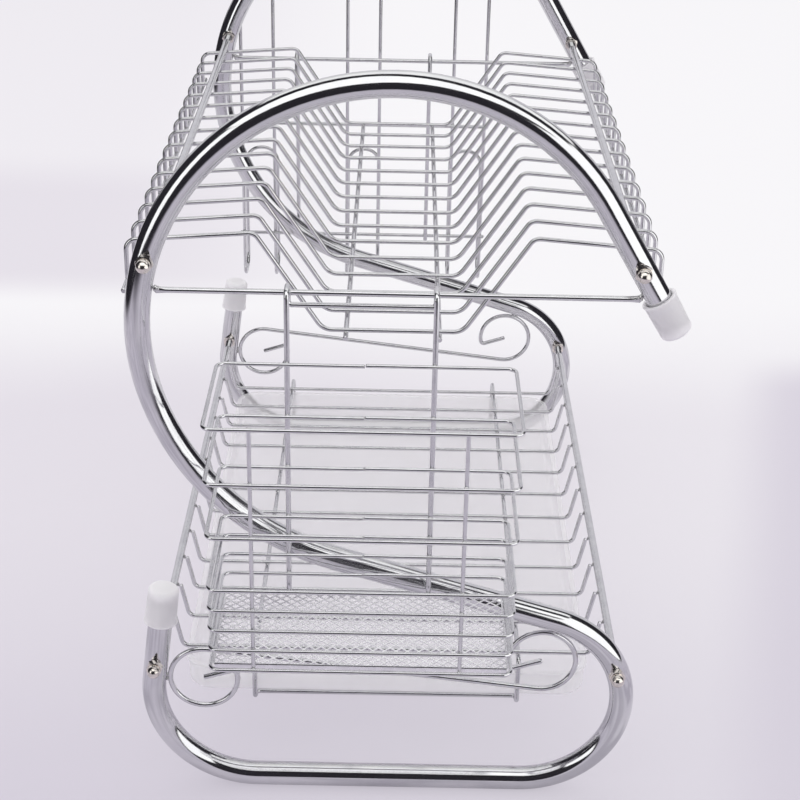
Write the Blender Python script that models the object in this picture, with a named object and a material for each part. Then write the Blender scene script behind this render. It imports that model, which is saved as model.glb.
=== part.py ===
"""Two-tier dish rack of chromed tube and wire, in metres, +Z up, with its length along Y.

Two S-shaped tube frames stand at the ends. Four rods join them and carry an upper plate rack and a lower
basket of bent wires. A drip tray slides on a wire cradle under the basket, a cutlery basket hangs on the
near frame's hook bar, and a holder for boards hangs on the far one.

The sizes below are in rack coordinates: x = 0 midway between the rods, y = 0 in the near frame's plane and
z = 0 on the surface that the rack stands on. At the end the whole rack is moved so that the origin lies at
the bottom centre of its bounding box.
"""

import math

import bmesh
import bpy
from mathutils import Matrix, Vector

# Gap kept between pieces that touch
GAP = 0.0003

# S-shaped end frames
FRAME_SPACING = 0.382
TUBE_RADIUS = 0.006
UPPER_ROD_HEIGHT = 0.275
UPPER_ROD_HALF_SPAN = 0.107
LOWER_ROD_HEIGHT = 0.067
LOWER_ROD_HALF_SPAN = 0.111
ARCH_END_LEAN = math.radians(30.7)
ARCH_END_REACH = 0.031
RIGHT_BEND_RADIUS = 0.048
LEFT_BEND_RADIUS = 0.050
LEFT_END_LEAN = math.radians(7.3)
LEFT_END_REACH = 0.0365
LOWER_ARC_START = math.radians(195)

# Plastic caps on the tube ends
CAP_LENGTH = 0.019
CAP_WALL = 0.0016
CAP_LIP = 0.0002
CAP_END = 0.0045
CAP_EDGE_RADIUS = 0.0022

# Threaded rods and their nuts
ROD_RADIUS = 0.002
NUT_ACROSS_FLATS = 0.007
HEX_NUT_HEIGHT = 0.0032
ACORN_HEX_HEIGHT = 0.0032
ACORN_HEIGHT = 0.008
ACORN_DOME_RADIUS = 0.0032
ACORN_BORE_DEPTH = 0.0055

# Hook bars and scrolls, welded inside the frames
HOOK_BAR_RADIUS = 0.0013
HOOK_BAR_DROP = 0.015
SCROLL_WIRE_RADIUS = 0.0013
SCROLL_LOOP_RADIUS = 0.0163
SCROLL_LEFT_HEIGHT = 0.057
SCROLL_RIGHT_BEARING = math.radians(70)
SCROLL_TURN = math.radians(198)
SCROLL_TAIL_CORNER = 0.003

# Upper plate rack
RACK_WIRE_RADIUS = 0.0011
RUNNER_RADIUS = 0.00125
UPPER_WIRE_COUNT = 15
UPPER_FIRST_WIRE = 0.032
WING_OVERHANG = 0.0135
UPPER_DROP = 0.018
WING_FALL = 0.0045
TROUGH_TOP_HALF_WIDTH = 0.0628
TROUGH_BOTTOM_HALF_WIDTH = 0.032
TROUGH_DEPTH = 0.0465
WING_CORNER_RADIUS = 0.005
TROUGH_CORNER_RADIUS = 0.008
UPPER_RUNNER_HALF_SPAN = 0.0215
UPPER_RUNNER_OVERHANG = 0.004
EDGE_WIRE_OVERHANG = 0.013

# Lower basket
LOWER_WIRE_COUNT = 12
LOWER_FIRST_WIRE = 0.040
BASKET_DEPTH = 0.019
BASKET_INSET = 0.004
BASKET_CORNER_RADIUS = 0.004

# Wire cradle and drip tray
CRADLE_HALF_SPAN = 0.067
CRADLE_NEAR = 0.0355
CRADLE_FAR_MARGIN = 0.020
CRADLE_DROP = 0.025
CRADLE_LIP = 0.0055
CRADLE_CORNER_RADIUS = 0.0025
TRAY_HALF_WIDTH = 0.1035
TRAY_HEIGHT = 0.015
TRAY_WALL = 0.0018
TRAY_FLARE = 0.0015
TRAY_CORNER_RADIUS = 0.014
TRAY_BOTTOM_RADIUS = 0.0025
TRAY_RIM_WIDTH = 0.003
TRAY_RIM_THICKNESS = 0.0016
TRAY_END_PLAY = 0.0006

# Cutlery basket
HANGER_RADIUS = 0.00125
RING_WIRE_RADIUS = 0.0009
WELD_DEPTH = 0.0004
BASKET_CENTRE = -0.011
BASKET_HALF_WIDTH = 0.0655
BASKET_FRONT_TO_BACK = 0.0637
BASKET_TOP_DROP = 0.0455
OPEN_RING_COUNT = 4
OPEN_RING_SPACING = 0.0256
CLOSE_RING_COUNT = 4
CLOSE_RING_SPACING = 0.0101
RING_CORNER_RADIUS = 0.006
HANGER_HALF_SPAN = 0.0325
HANGER_CENTRE = -0.0135
HANGER_TAIL = 0.007
UPRIGHT_LEFT = -0.0575
UPRIGHT_RIGHT = 0.032

# Expanded-metal floor of the cutlery basket
FLOOR_CELLS_ACROSS = 10
FLOOR_CELLS_DEEP = 4
FLOOR_STRAND = 0.0022
FLOOR_THICKNESS = 0.0009

# Board holder
HOLDER_WIRE_RADIUS = 0.0011
HOLDER_CENTRE = -0.0225
HOLDER_SPACING = 0.068
HOLDER_LOOP_COUNT = 3
HOLDER_LOOP_HALF_WIDTH = 0.0103
HOLDER_RISE = 0.055
HOLDER_FALL = 0.1675
HOLDER_ARCH_DROP = 0.0855
HOLDER_SLOT = 0.026
HOLDER_BOTTOM_RADIUS = 0.008
HOLDER_TIE_DROPS = (0.0600, 0.1355)
HOLDER_TIE_OVERRUN = 0.0025
HOLDER_HOOK_HALF_SPAN = 0.042
HOLDER_TAIL = 0.017

# Numbers of facets and steps
TUBE_SIDES = 12
CAP_SIDES = 12
NUT_SIDES = 6
ROUND_SIDES = 10
WIRE_SIDES = 6
ARCH_STEP = math.radians(12)
LOOP_STEP = math.radians(25)
CORNER_STEPS = 2
SMOOTH_ANGLE = math.radians(50)

# Shares of the sizes that they follow
ARCH_RISE_SHARE = 0.734
LOWER_ARC_SHARE = 1.106
LOOP_ROUND_SHARE = 0.94
CAP_TAPER_SHARE = 0.92
FACET_SHARE = math.cos(math.pi / TUBE_SIDES)

X = Vector((1, 0, 0))
Y = Vector((0, 1, 0))
Z = Vector((0, 0, 1))

# Heights and places that follow from the sizes
TUBE_FLAT = TUBE_RADIUS * FACET_SHARE
BASE_HEIGHT = TUBE_FLAT
UPPER_ROD_Z = BASE_HEIGHT + UPPER_ROD_HEIGHT
ARCH_RISE = UPPER_ROD_HALF_SPAN * ARCH_RISE_SHARE
UPPER_HALF_WIDTH = UPPER_ROD_HALF_SPAN + WING_OVERHANG
LOWER_ROD_Z = BASE_HEIGHT + LOWER_ROD_HEIGHT
HOOK_BAR_Z = UPPER_ROD_Z - HOOK_BAR_DROP
UPPER_SPACING = (FRAME_SPACING - 2 * UPPER_FIRST_WIRE) / (UPPER_WIRE_COUNT - 1)
LOWER_SPACING = (FRAME_SPACING - 2 * LOWER_FIRST_WIRE) / (LOWER_WIRE_COUNT - 1)
ACCESSORY_OFFSET = TUBE_FLAT + GAP + HANGER_RADIUS
HOOK_BEND_RADIUS = HOOK_BAR_RADIUS + GAP + HANGER_RADIUS


def material(name, colour, metallic, roughness):
    """A plain surface of one colour."""
    made = bpy.data.materials.new(name)
    made.use_nodes = True
    shader = made.node_tree.nodes["Principled BSDF"]
    shader.inputs["Base Color"].default_value = (*colour, 1.0)
    shader.inputs["Metallic"].default_value = metallic
    shader.inputs["Roughness"].default_value = roughness
    made.diffuse_color = (*colour, 1.0)
    return made


def mesh_from(bm, name):
    """A smooth-shaded mesh with its faces turned outwards."""
    bmesh.ops.recalc_face_normals(bm, faces=bm.faces)
    mesh = bpy.data.meshes.new(name)
    bm.to_mesh(mesh)
    bm.free()
    mesh.shade_smooth()
    mesh.set_sharp_from_angle(angle=SMOOTH_ANGLE)
    return mesh


def add_object(name, mesh, finish, parent, origin=None):
    """Adds a mesh drawn in rack coordinates as an object, with its own origin if one is given."""
    mesh.materials.clear()
    mesh.materials.append(finish)
    obj = bpy.data.objects.new(name, mesh)
    bpy.context.scene.collection.objects.link(obj)
    obj.parent = parent
    if origin is not None:
        mesh.transform(Matrix.Translation(-origin))
        obj.location = origin - parent.location
    return obj


def boolean(mesh, tools, operation):
    """The mesh after each tool mesh is joined to it or cut from it."""
    body = bpy.data.objects.new("boolean_body", mesh)
    bpy.context.scene.collection.objects.link(body)
    helpers = [body]
    for tool in tools:
        helper = bpy.data.objects.new("boolean_tool", tool)
        bpy.context.scene.collection.objects.link(helper)
        helpers.append(helper)
        step = body.modifiers.new("boolean", "BOOLEAN")
        step.operation = operation
        step.solver = "EXACT"
        step.object = helper
    graph = bpy.context.evaluated_depsgraph_get()
    result = bpy.data.meshes.new_from_object(body.evaluated_get(graph))
    for helper in helpers:
        bpy.data.objects.remove(helper)
    return result


def arc(centre, radius, start, end, step):
    """Points (x, z) along an arc, both ends included."""
    count = max(1, round(abs(end - start) / step))
    angles = [start + (end - start) * i / count for i in range(count + 1)]
    return [(centre[0] + radius * math.cos(a), centre[1] + radius * math.sin(a)) for a in angles]


def in_plane(points, y=0.0):
    """Points (x, z) as vectors at one place along the rack."""
    return [Vector((x, y, z)) for x, z in points]


def rounded(corners, radii, closed=False, steps=CORNER_STEPS):
    """The route through the corners, with each corner of a radius above zero turned into an arc."""
    count = len(corners)
    if not isinstance(radii, (list, tuple)):
        radii = [radii] * count
    route = []
    for i, corner in enumerate(corners):
        if radii[i] == 0 or (not closed and i in (0, count - 1)):
            route.append(corner.copy())
            continue
        back = (corners[i - 1] - corner).normalized()
        ahead = (corners[(i + 1) % count] - corner).normalized()
        half = back.angle(ahead) / 2
        centre = corner + (back + ahead).normalized() * (radii[i] / math.sin(half))
        first = corner + back * (radii[i] / math.tan(half)) - centre
        axis = back.cross(ahead)
        turn = Matrix.Rotation(-(math.pi - 2 * half) / steps, 3, axis)
        for _ in range(steps + 1):
            route.append(centre + first)
            first = turn @ first
    return route


def sweep(route, radius, sides, side, closed=False, name="sweep"):
    """A round bar along a route, mitred at every point. One facet faces the given side at the start."""
    count = len(route)
    runs = [(route[(i + 1) % count] - route[i]).normalized() for i in range(count)]
    if not closed:
        runs[-1] = runs[-2]
    normals = [runs[i - 1] + runs[i] for i in range(count)]
    if not closed:
        normals[0] = runs[0]
    along = runs[-1] if closed else runs[0]
    across = (side - along * side.dot(along)).normalized()
    up = along.cross(across)
    bm = bmesh.new()
    ring = []
    for k in range(sides):
        angle = (k + 0.5) * math.tau / sides
        ring.append(route[0] + (across * math.cos(angle) + up * math.sin(angle)) * radius)
    rings = []
    for i in range(count):
        along = runs[i - 1] if closed or i else runs[0]
        ring = [v + along * ((route[i] - v).dot(normals[i]) / along.dot(normals[i])) for v in ring]
        rings.append([bm.verts.new(v) for v in ring])
    for i in range(count if closed else count - 1):
        lower, upper = rings[i], rings[(i + 1) % count]
        for k in range(sides):
            after = (k + 1) % sides
            bm.faces.new((lower[k], lower[after], upper[after], upper[k]))
    if not closed:
        bm.faces.new(rings[0])
        bm.faces.new(rings[-1])
    return mesh_from(bm, name)


def turned(profile, sides, name="turned"):
    """A solid turned about Z from a profile (radius, height) that starts and ends on the axis."""
    bm = bmesh.new()
    verts = [bm.verts.new((radius, 0, height)) for radius, height in profile]
    edges = [bm.edges.new(pair) for pair in zip(verts, verts[1:])]
    bmesh.ops.spin(bm, geom=verts + edges, cent=(0, 0, 0), axis=Z, angle=math.tau, steps=sides)
    bmesh.ops.remove_doubles(bm, verts=bm.verts, dist=GAP / 100)
    return mesh_from(bm, name)


def prism(sides, across_flats, start, end, name="prism"):
    """A regular prism about Z between two heights."""
    bm = bmesh.new()
    radius = across_flats / 2 / math.cos(math.pi / sides)
    middle = Matrix.Translation((0, 0, (start + end) / 2))
    bmesh.ops.create_cone(
        bm, cap_ends=True, segments=sides, radius1=radius, radius2=radius, depth=end - start, matrix=middle
    )
    return mesh_from(bm, name)


def placed(mesh, direction, point):
    """The mesh with its Z axis turned to the direction and its origin moved to the point."""
    turn = direction.to_track_quat("Z", "Y").to_matrix().to_4x4()
    mesh.transform(Matrix.Translation(point) @ turn)
    return mesh


def lofted(loops, name="loft"):
    """A solid through loops of equally many points, closed at its first and last loop."""
    bm = bmesh.new()
    rows = [[bm.verts.new(v) for v in loop] for loop in loops]
    for low, high in zip(rows, rows[1:]):
        for i in range(len(low)):
            j = (i + 1) % len(low)
            bm.faces.new((low[i], low[j], high[j], high[i]))
    bm.faces.new(rows[0])
    bm.faces.new(rows[-1])
    return mesh_from(bm, name)


def rounded_rectangle(centre, half_x, half_y, radius, steps=CORNER_STEPS):
    """A level rectangle with round corners, as a closed route."""
    corners = [
        centre + Vector((sx * half_x, sy * half_y, 0)) for sx, sy in ((-1, -1), (1, -1), (1, 1), (-1, 1))
    ]
    return rounded(corners, radius, closed=True, steps=steps)


def frame_shape():
    """The S frame's centre line (x, z), and the centre and radius of its lower right bend.

    The left end rises from the base, leaning in. The base runs right to the lower right bend, and a straight
    diagonal leads up to the big left arc, which is slacker in its lower part. A tighter arc brings the arch
    down to its right end.
    """
    top = UPPER_ROD_Z + ARCH_RISE
    sin_lean, cos_lean = math.sin(ARCH_END_LEAN), math.cos(ARCH_END_LEAN)
    left_radius = (UPPER_ROD_HALF_SPAN**2 + ARCH_RISE**2) / (2 * ARCH_RISE)
    left_centre = Vector((0, top - left_radius))
    right_radius = (UPPER_ROD_HALF_SPAN * cos_lean - ARCH_RISE * sin_lean) / (1 - sin_lean)
    right_centre = Vector((0, top - right_radius))
    arch_end = (
        UPPER_ROD_HALF_SPAN + ARCH_END_REACH * sin_lean,
        UPPER_ROD_Z - ARCH_END_REACH * cos_lean,
    )

    bend_z = BASE_HEIGHT + RIGHT_BEND_RADIUS
    bend_x = LOWER_ROD_HALF_SPAN - math.sqrt(RIGHT_BEND_RADIUS**2 - (LOWER_ROD_Z - bend_z) ** 2)
    bend_centre = Vector((bend_x, bend_z))
    lower_radius = left_radius * LOWER_ARC_SHARE
    toward = Vector((math.cos(LOWER_ARC_START), math.sin(LOWER_ARC_START)))
    lower_centre = left_centre + toward * (left_radius - lower_radius)
    between = lower_centre - bend_centre
    swing = math.acos((lower_radius + RIGHT_BEND_RADIUS) / between.length)
    slope = math.pi / 2 + swing - math.atan2(between.y, between.x)

    base_z = BASE_HEIGHT + LEFT_BEND_RADIUS
    sin_left, cos_left = math.sin(LEFT_END_LEAN), math.cos(LEFT_END_LEAN)
    base_x = -LOWER_ROD_HALF_SPAN + (LEFT_BEND_RADIUS - sin_left * (LOWER_ROD_Z - base_z)) / cos_left
    left_end = (
        -LOWER_ROD_HALF_SPAN + LEFT_END_REACH * sin_left,
        LOWER_ROD_Z + LEFT_END_REACH * cos_left,
    )

    quarter = math.pi / 2
    line = [left_end]
    line += arc((base_x, base_z), LEFT_BEND_RADIUS, 2 * quarter - LEFT_END_LEAN, 3 * quarter, ARCH_STEP)
    line += arc(bend_centre, RIGHT_BEND_RADIUS, -quarter, quarter - slope, ARCH_STEP)
    line += arc(lower_centre, lower_radius, 3 * quarter - slope, LOWER_ARC_START, ARCH_STEP)
    line += arc(left_centre, left_radius, LOWER_ARC_START, quarter, ARCH_STEP)[1:]
    line += arc(right_centre, right_radius, quarter, ARCH_END_LEAN, ARCH_STEP)[1:]
    line += [arch_end]
    return line, bend_centre


def crossings(line, height):
    """Where the centre line crosses a height: each crossing's x and half the tube's width there."""
    found = []
    for (x0, z0), (x1, z1) in zip(line, line[1:]):
        if (z0 - height) * (z1 - height) < 0:
            x = x0 + (x1 - x0) * (height - z0) / (z1 - z0)
            steep = abs(z1 - z0) / math.hypot(x1 - x0, z1 - z0)
            found.append((x, TUBE_RADIUS / steep))
    return sorted(found)


def rod_places(line):
    """The four rods as (name, x, z)."""
    return (
        ("upper_rod_left", crossings(line, UPPER_ROD_Z)[0][0], UPPER_ROD_Z),
        ("upper_rod_right", crossings(line, UPPER_ROD_Z)[-1][0], UPPER_ROD_Z),
        ("lower_rod_left", crossings(line, LOWER_ROD_Z)[0][0], LOWER_ROD_Z),
        ("lower_rod_right", crossings(line, LOWER_ROD_Z)[-1][0], LOWER_ROD_Z),
    )


def make_frame(name, line, rods, y, finish, rack):
    """One bent tube, drilled across for the four rods."""
    tube = sweep(in_plane(line, y), TUBE_RADIUS, TUBE_SIDES, Y)
    drills = []
    for _, x, z in rods:
        drill = prism(ROUND_SIDES, 2 * (ROD_RADIUS + GAP), -2 * TUBE_RADIUS, 2 * TUBE_RADIUS)
        drills.append(placed(drill, Y, Vector((x, y, z))))
    return add_object(name, boolean(tube, drills, "DIFFERENCE"), finish, rack)


def make_cap(name, line_end, line_before, y, finish, rack):
    """A plastic cup pushed over the tube's end, with a lip at its mouth and a rounded closed end."""
    outer = TUBE_RADIUS + GAP + CAP_WALL
    narrow = outer * CAP_TAPER_SHARE
    bore = TUBE_RADIUS + GAP
    depth = CAP_LENGTH - CAP_END
    rim = narrow - CAP_EDGE_RADIUS
    bend = arc((rim, CAP_LENGTH - CAP_EDGE_RADIUS), CAP_EDGE_RADIUS, 0, math.pi / 2, math.pi / 6)
    profile = [(0, CAP_LENGTH)] + bend[::-1]
    profile += [(outer, CAP_WALL), (outer + CAP_LIP, CAP_WALL / 2), (outer, 0), (bore, 0), (bore, depth)]
    profile += [(0, depth)]
    end = Vector((line_end[0], y, line_end[1]))
    outwards = (end - Vector((line_before[0], y, line_before[1]))).normalized()
    mouth = end - outwards * (depth - GAP)
    cap = placed(turned(profile, CAP_SIDES), outwards, mouth)
    return add_object(name, cap, finish, rack)


def make_hook_bar(name, line, y, finish, rack):
    """A straight bar between the inner sides of the arch's two legs."""
    left = [crossings(line, HOOK_BAR_Z + s * HOOK_BAR_RADIUS)[0] for s in (-1, 1)]
    right = [crossings(line, HOOK_BAR_Z + s * HOOK_BAR_RADIUS)[-1] for s in (-1, 1)]
    start = max(x + half for x, half in left) + GAP
    end = min(x - half for x, half in right) - GAP
    route = [Vector((start, y, HOOK_BAR_Z)), Vector((end, y, HOOK_BAR_Z))]
    return add_object(name, sweep(route, HOOK_BAR_RADIUS, ROUND_SIDES, Y), finish, rack)


def make_scroll(name, line, bend_centre, y, finish, rack):
    """An S of wire: two open loops joined by a straight run, each with a short tail to its centre."""
    reach = SCROLL_WIRE_RADIUS + GAP + SCROLL_LOOP_RADIUS
    left_z = BASE_HEIGHT + SCROLL_LEFT_HEIGHT
    tube_x, tube_half = crossings(line, left_z)[0]
    left = Vector((tube_x + tube_half + reach, left_z))
    inside = RIGHT_BEND_RADIUS - TUBE_RADIUS - reach - GAP
    bearing = Vector((math.cos(SCROLL_RIGHT_BEARING), math.sin(SCROLL_RIGHT_BEARING)))
    right = bend_centre + bearing * inside
    across = right - left
    facing = math.atan2(across.y, across.x) + math.acos(2 * SCROLL_LOOP_RADIUS / across.length)
    back = SCROLL_TURN - math.pi
    loop = arc(left, SCROLL_LOOP_RADIUS, facing, back + math.tau, LOOP_STEP)
    points = [tuple(left)] + loop[::-1]
    points += arc(right, SCROLL_LOOP_RADIUS, facing - math.pi, SCROLL_TURN, LOOP_STEP) + [tuple(right)]
    radii = [0.0] * len(points)
    radii[1] = radii[-2] = SCROLL_TAIL_CORNER
    route = rounded(in_plane(points, y), radii)
    return add_object(name, sweep(route, SCROLL_WIRE_RADIUS, WIRE_SIDES, Y), finish, rack)


def make_rod(name, x, z, finish, rack):
    """A rod through both frames, with the nut that clamps each frame from inside."""
    seat = TUBE_FLAT + GAP
    reach = seat + ACORN_BORE_DEPTH - GAP
    rod = prism(ROUND_SIDES, 2 * ROD_RADIUS, -reach, FRAME_SPACING + reach)
    nuts = [
        prism(NUT_SIDES, NUT_ACROSS_FLATS, seat, seat + HEX_NUT_HEIGHT),
        prism(NUT_SIDES, NUT_ACROSS_FLATS, FRAME_SPACING - seat - HEX_NUT_HEIGHT, FRAME_SPACING - seat),
    ]
    body = boolean(rod, nuts, "UNION")
    return add_object(name, placed(body, Y, Vector((x, 0, z))), finish, rack)


def acorn_mesh():
    """A domed nut along Z from its flat face at zero: a hexagon, a round dome and a blind bore."""
    dome_start = ACORN_HEIGHT - ACORN_DOME_RADIUS
    dome = [(0, ACORN_HEX_HEIGHT / 2), (ACORN_DOME_RADIUS, ACORN_HEX_HEIGHT / 2)]
    dome += arc((0, dome_start), ACORN_DOME_RADIUS, 0, math.pi / 2, math.pi / 6)
    body = prism(NUT_SIDES, NUT_ACROSS_FLATS, 0, ACORN_HEX_HEIGHT)
    body = boolean(body, [turned(dome, ROUND_SIDES)], "UNION")
    bore = prism(ROUND_SIDES, 2 * (ROD_RADIUS + GAP), -GAP, ACORN_BORE_DEPTH)
    return boolean(body, [bore], "DIFFERENCE")


def make_acorn_nuts(rods, finish, rack):
    """The eight domed nuts on the rods' outer ends, which share two meshes."""
    seat = TUBE_FLAT + GAP
    for end, y, outwards in (("near", -seat, -Y), ("far", FRAME_SPACING + seat, Y)):
        mesh = placed(acorn_mesh(), outwards, Vector((0, 0, 0)))
        for rod, x, z in rods:
            name = "acorn_nut_" + end + "_" + rod.replace("_rod", "")
            nut = add_object(name, mesh, finish, rack)
            nut.location = (x, y, z)


def upper_wire_corners(rod_x):
    """The right half's corners (x, z) of a plate rack wire, whose wings touch the rods from below."""
    wing_z = UPPER_ROD_Z - ROD_RADIUS - GAP - RACK_WIRE_RADIUS
    fall = WING_FALL / (UPPER_HALF_WIDTH - TROUGH_TOP_HALF_WIDTH)
    inner_z = wing_z + (rod_x - TROUGH_TOP_HALF_WIDTH) * fall
    outer_z = wing_z - (UPPER_HALF_WIDTH - rod_x) * fall
    trough_z = inner_z - TROUGH_DEPTH
    return (
        (TROUGH_BOTTOM_HALF_WIDTH, trough_z),
        (TROUGH_TOP_HALF_WIDTH, inner_z),
        (UPPER_HALF_WIDTH, outer_z),
        (UPPER_HALF_WIDTH, outer_z - UPPER_DROP),
    )


def make_upper_rack(rods, finish, rack):
    """Cross wires with a trough between two wings, two runners below and a wire under each edge."""
    corners = upper_wire_corners(rods[1][1])
    outline = [(-x, z) for x, z in corners[::-1]] + list(corners)
    radii = [0, WING_CORNER_RADIUS, WING_CORNER_RADIUS, TROUGH_CORNER_RADIUS]
    radii += radii[::-1]
    for i in range(UPPER_WIRE_COUNT):
        route = rounded(in_plane(outline, UPPER_FIRST_WIRE + i * UPPER_SPACING), radii)
        wire = sweep(route, RACK_WIRE_RADIUS, WIRE_SIDES, Y)
        add_object(f"upper_wire_{i + 1:02}", wire, finish, rack)
    contact = RACK_WIRE_RADIUS + GAP + RUNNER_RADIUS
    runner_z = corners[0][1] - contact
    edge_z = corners[-1][1] - GAP - RUNNER_RADIUS
    for side, sign in (("left", -1), ("right", 1)):
        for kind, x, z, overhang in (
            ("runner", UPPER_RUNNER_HALF_SPAN, runner_z, UPPER_RUNNER_OVERHANG),
            ("edge", UPPER_HALF_WIDTH, edge_z, EDGE_WIRE_OVERHANG),
        ):
            start = UPPER_FIRST_WIRE - overhang
            route = [Vector((sign * x, start, z)), Vector((sign * x, FRAME_SPACING - start, z))]
            wire = sweep(route, RUNNER_RADIUS, WIRE_SIDES, Z)
            add_object(f"upper_{kind}_{side}", wire, finish, rack)


def make_lower_basket(rods, finish, rack):
    """Cross wires bent up to the inner sides of the lower rods."""
    top_x = rods[3][1] - ROD_RADIUS - GAP - RACK_WIRE_RADIUS
    bottom_z = LOWER_ROD_Z - BASKET_DEPTH
    half = [(top_x - BASKET_INSET, bottom_z), (top_x, LOWER_ROD_Z)]
    outline = [(-x, z) for x, z in half[::-1]] + half
    for i in range(LOWER_WIRE_COUNT):
        route = rounded(in_plane(outline, LOWER_FIRST_WIRE + i * LOWER_SPACING), BASKET_CORNER_RADIUS)
        wire = sweep(route, RACK_WIRE_RADIUS, WIRE_SIDES, Y)
        add_object(f"lower_wire_{i + 1:02}", wire, finish, rack)


def cradle_levels():
    """The heights of the cradle's runners and of its bars."""
    runner_z = LOWER_ROD_Z - BASKET_DEPTH - RACK_WIRE_RADIUS - GAP - RUNNER_RADIUS
    return runner_z, runner_z - CRADLE_DROP


def make_cradle(finish, rack):
    """One closed wire: runners under the basket drop at each end, turn in and cross as a bar."""
    high, low = cradle_levels()
    far = FRAME_SPACING - CRADLE_FAR_MARGIN
    half = [
        Vector((CRADLE_HALF_SPAN, CRADLE_NEAR + CRADLE_LIP, low)),
        Vector((CRADLE_HALF_SPAN, CRADLE_NEAR, low)),
        Vector((CRADLE_HALF_SPAN, CRADLE_NEAR, high)),
        Vector((CRADLE_HALF_SPAN, far, high)),
        Vector((CRADLE_HALF_SPAN, far, low)),
        Vector((CRADLE_HALF_SPAN, far - CRADLE_LIP, low)),
    ]
    corners = half + [Vector((-v.x, v.y, v.z)) for v in half[::-1]]
    route = rounded(corners, CRADLE_CORNER_RADIUS, closed=True)
    wire = sweep(route, RUNNER_RADIUS, WIRE_SIDES, Z, closed=True)
    return add_object("tray_cradle", wire, finish, rack)


def make_tray(finish, rack):
    """A shallow tray with flared walls and a narrow rim, between the cradle's end legs."""
    stop = RUNNER_RADIUS + TRAY_END_PLAY
    near = CRADLE_NEAR + stop
    far = FRAME_SPACING - CRADLE_FAR_MARGIN - stop
    bottom = cradle_levels()[1] + RUNNER_RADIUS + GAP
    top = bottom + TRAY_HEIGHT
    inner = TRAY_RIM_WIDTH
    rows = (
        (TRAY_FLARE + TRAY_BOTTOM_RADIUS, bottom),
        (TRAY_FLARE, bottom + TRAY_BOTTOM_RADIUS),
        (inner - TRAY_WALL, top - TRAY_RIM_THICKNESS),
        (0, top - TRAY_RIM_THICKNESS),
        (0, top),
        (inner, top),
        (TRAY_FLARE + TRAY_WALL, bottom + TRAY_BOTTOM_RADIUS),
        (TRAY_FLARE + TRAY_BOTTOM_RADIUS + TRAY_WALL, bottom + TRAY_WALL),
    )
    loops = []
    for inset, z in rows:
        centre = Vector((0, (near + far) / 2, z))
        half_y = (far - near) / 2 - inset
        radius = TRAY_CORNER_RADIUS - inset
        loops.append(rounded_rectangle(centre, TRAY_HALF_WIDTH - inset, half_y, radius, 2 * CORNER_STEPS))
    return add_object("drip_tray", lofted(loops), finish, rack, Vector((0, (near + far) / 2, bottom)))


def hook_route(x, bar_y, outwards, tail, foot_z):
    """A hook over a bar: a tail behind it, a bend round its top and a leg down its outer side."""
    over = HOOK_BAR_Z + HOOK_BEND_RADIUS
    return [
        Vector((x, bar_y - outwards * HOOK_BEND_RADIUS, HOOK_BAR_Z - tail)),
        Vector((x, bar_y - outwards * HOOK_BEND_RADIUS, over)),
        Vector((x, bar_y + outwards * ACCESSORY_OFFSET, over)),
        Vector((x, bar_y + outwards * ACCESSORY_OFFSET, foot_z)),
    ]


def cutlery_levels():
    """The heights of the cutlery basket's rings, from the top one down."""
    first = UPPER_ROD_Z - BASKET_TOP_DROP
    levels = [first - i * OPEN_RING_SPACING for i in range(OPEN_RING_COUNT)]
    return levels + [levels[-1] - (i + 1) * CLOSE_RING_SPACING for i in range(CLOSE_RING_COUNT)]


def cutlery_back():
    """How far before the near frame's plane the rings' back bars lie."""
    return -(ACCESSORY_OFFSET + HANGER_RADIUS + RING_WIRE_RADIUS - WELD_DEPTH)


def make_cutlery_basket(finish, hanger):
    """Rings welded to a hanger wire at the back and to two uprights inside the front."""
    levels = cutlery_levels()
    back = cutlery_back()
    front = back - BASKET_FRONT_TO_BACK
    middle = (back + front) / 2
    foot = levels[-1] - RING_WIRE_RADIUS / 2
    left = hook_route(HANGER_CENTRE - HANGER_HALF_SPAN, 0, -1, HANGER_TAIL, foot)
    right = hook_route(HANGER_CENTRE + HANGER_HALF_SPAN, 0, -1, HANGER_TAIL, foot)
    bends = [0, HOOK_BEND_RADIUS, HOOK_BEND_RADIUS, HANGER_RADIUS]
    route = rounded(left[::-1] + right, bends + bends[::-1])
    body = sweep(route, HANGER_RADIUS, WIRE_SIDES, X)
    parts = []
    for z in levels:
        centre = Vector((BASKET_CENTRE, middle, z))
        ring = rounded_rectangle(centre, BASKET_HALF_WIDTH, BASKET_FRONT_TO_BACK / 2, RING_CORNER_RADIUS)
        parts.append(sweep(ring, RING_WIRE_RADIUS, WIRE_SIDES, Z, closed=True))
    inside = front + 2 * RING_WIRE_RADIUS - WELD_DEPTH
    for x in (UPRIGHT_LEFT, UPRIGHT_RIGHT):
        ends = [Vector((x, inside, levels[0] + RING_WIRE_RADIUS / 2)), Vector((x, inside, foot))]
        parts.append(sweep(ends, RING_WIRE_RADIUS, WIRE_SIDES, Y))
    mesh = boolean(body, parts, "UNION")
    return add_object("cutlery_basket", mesh, finish, hanger, hanger.location)


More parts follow.
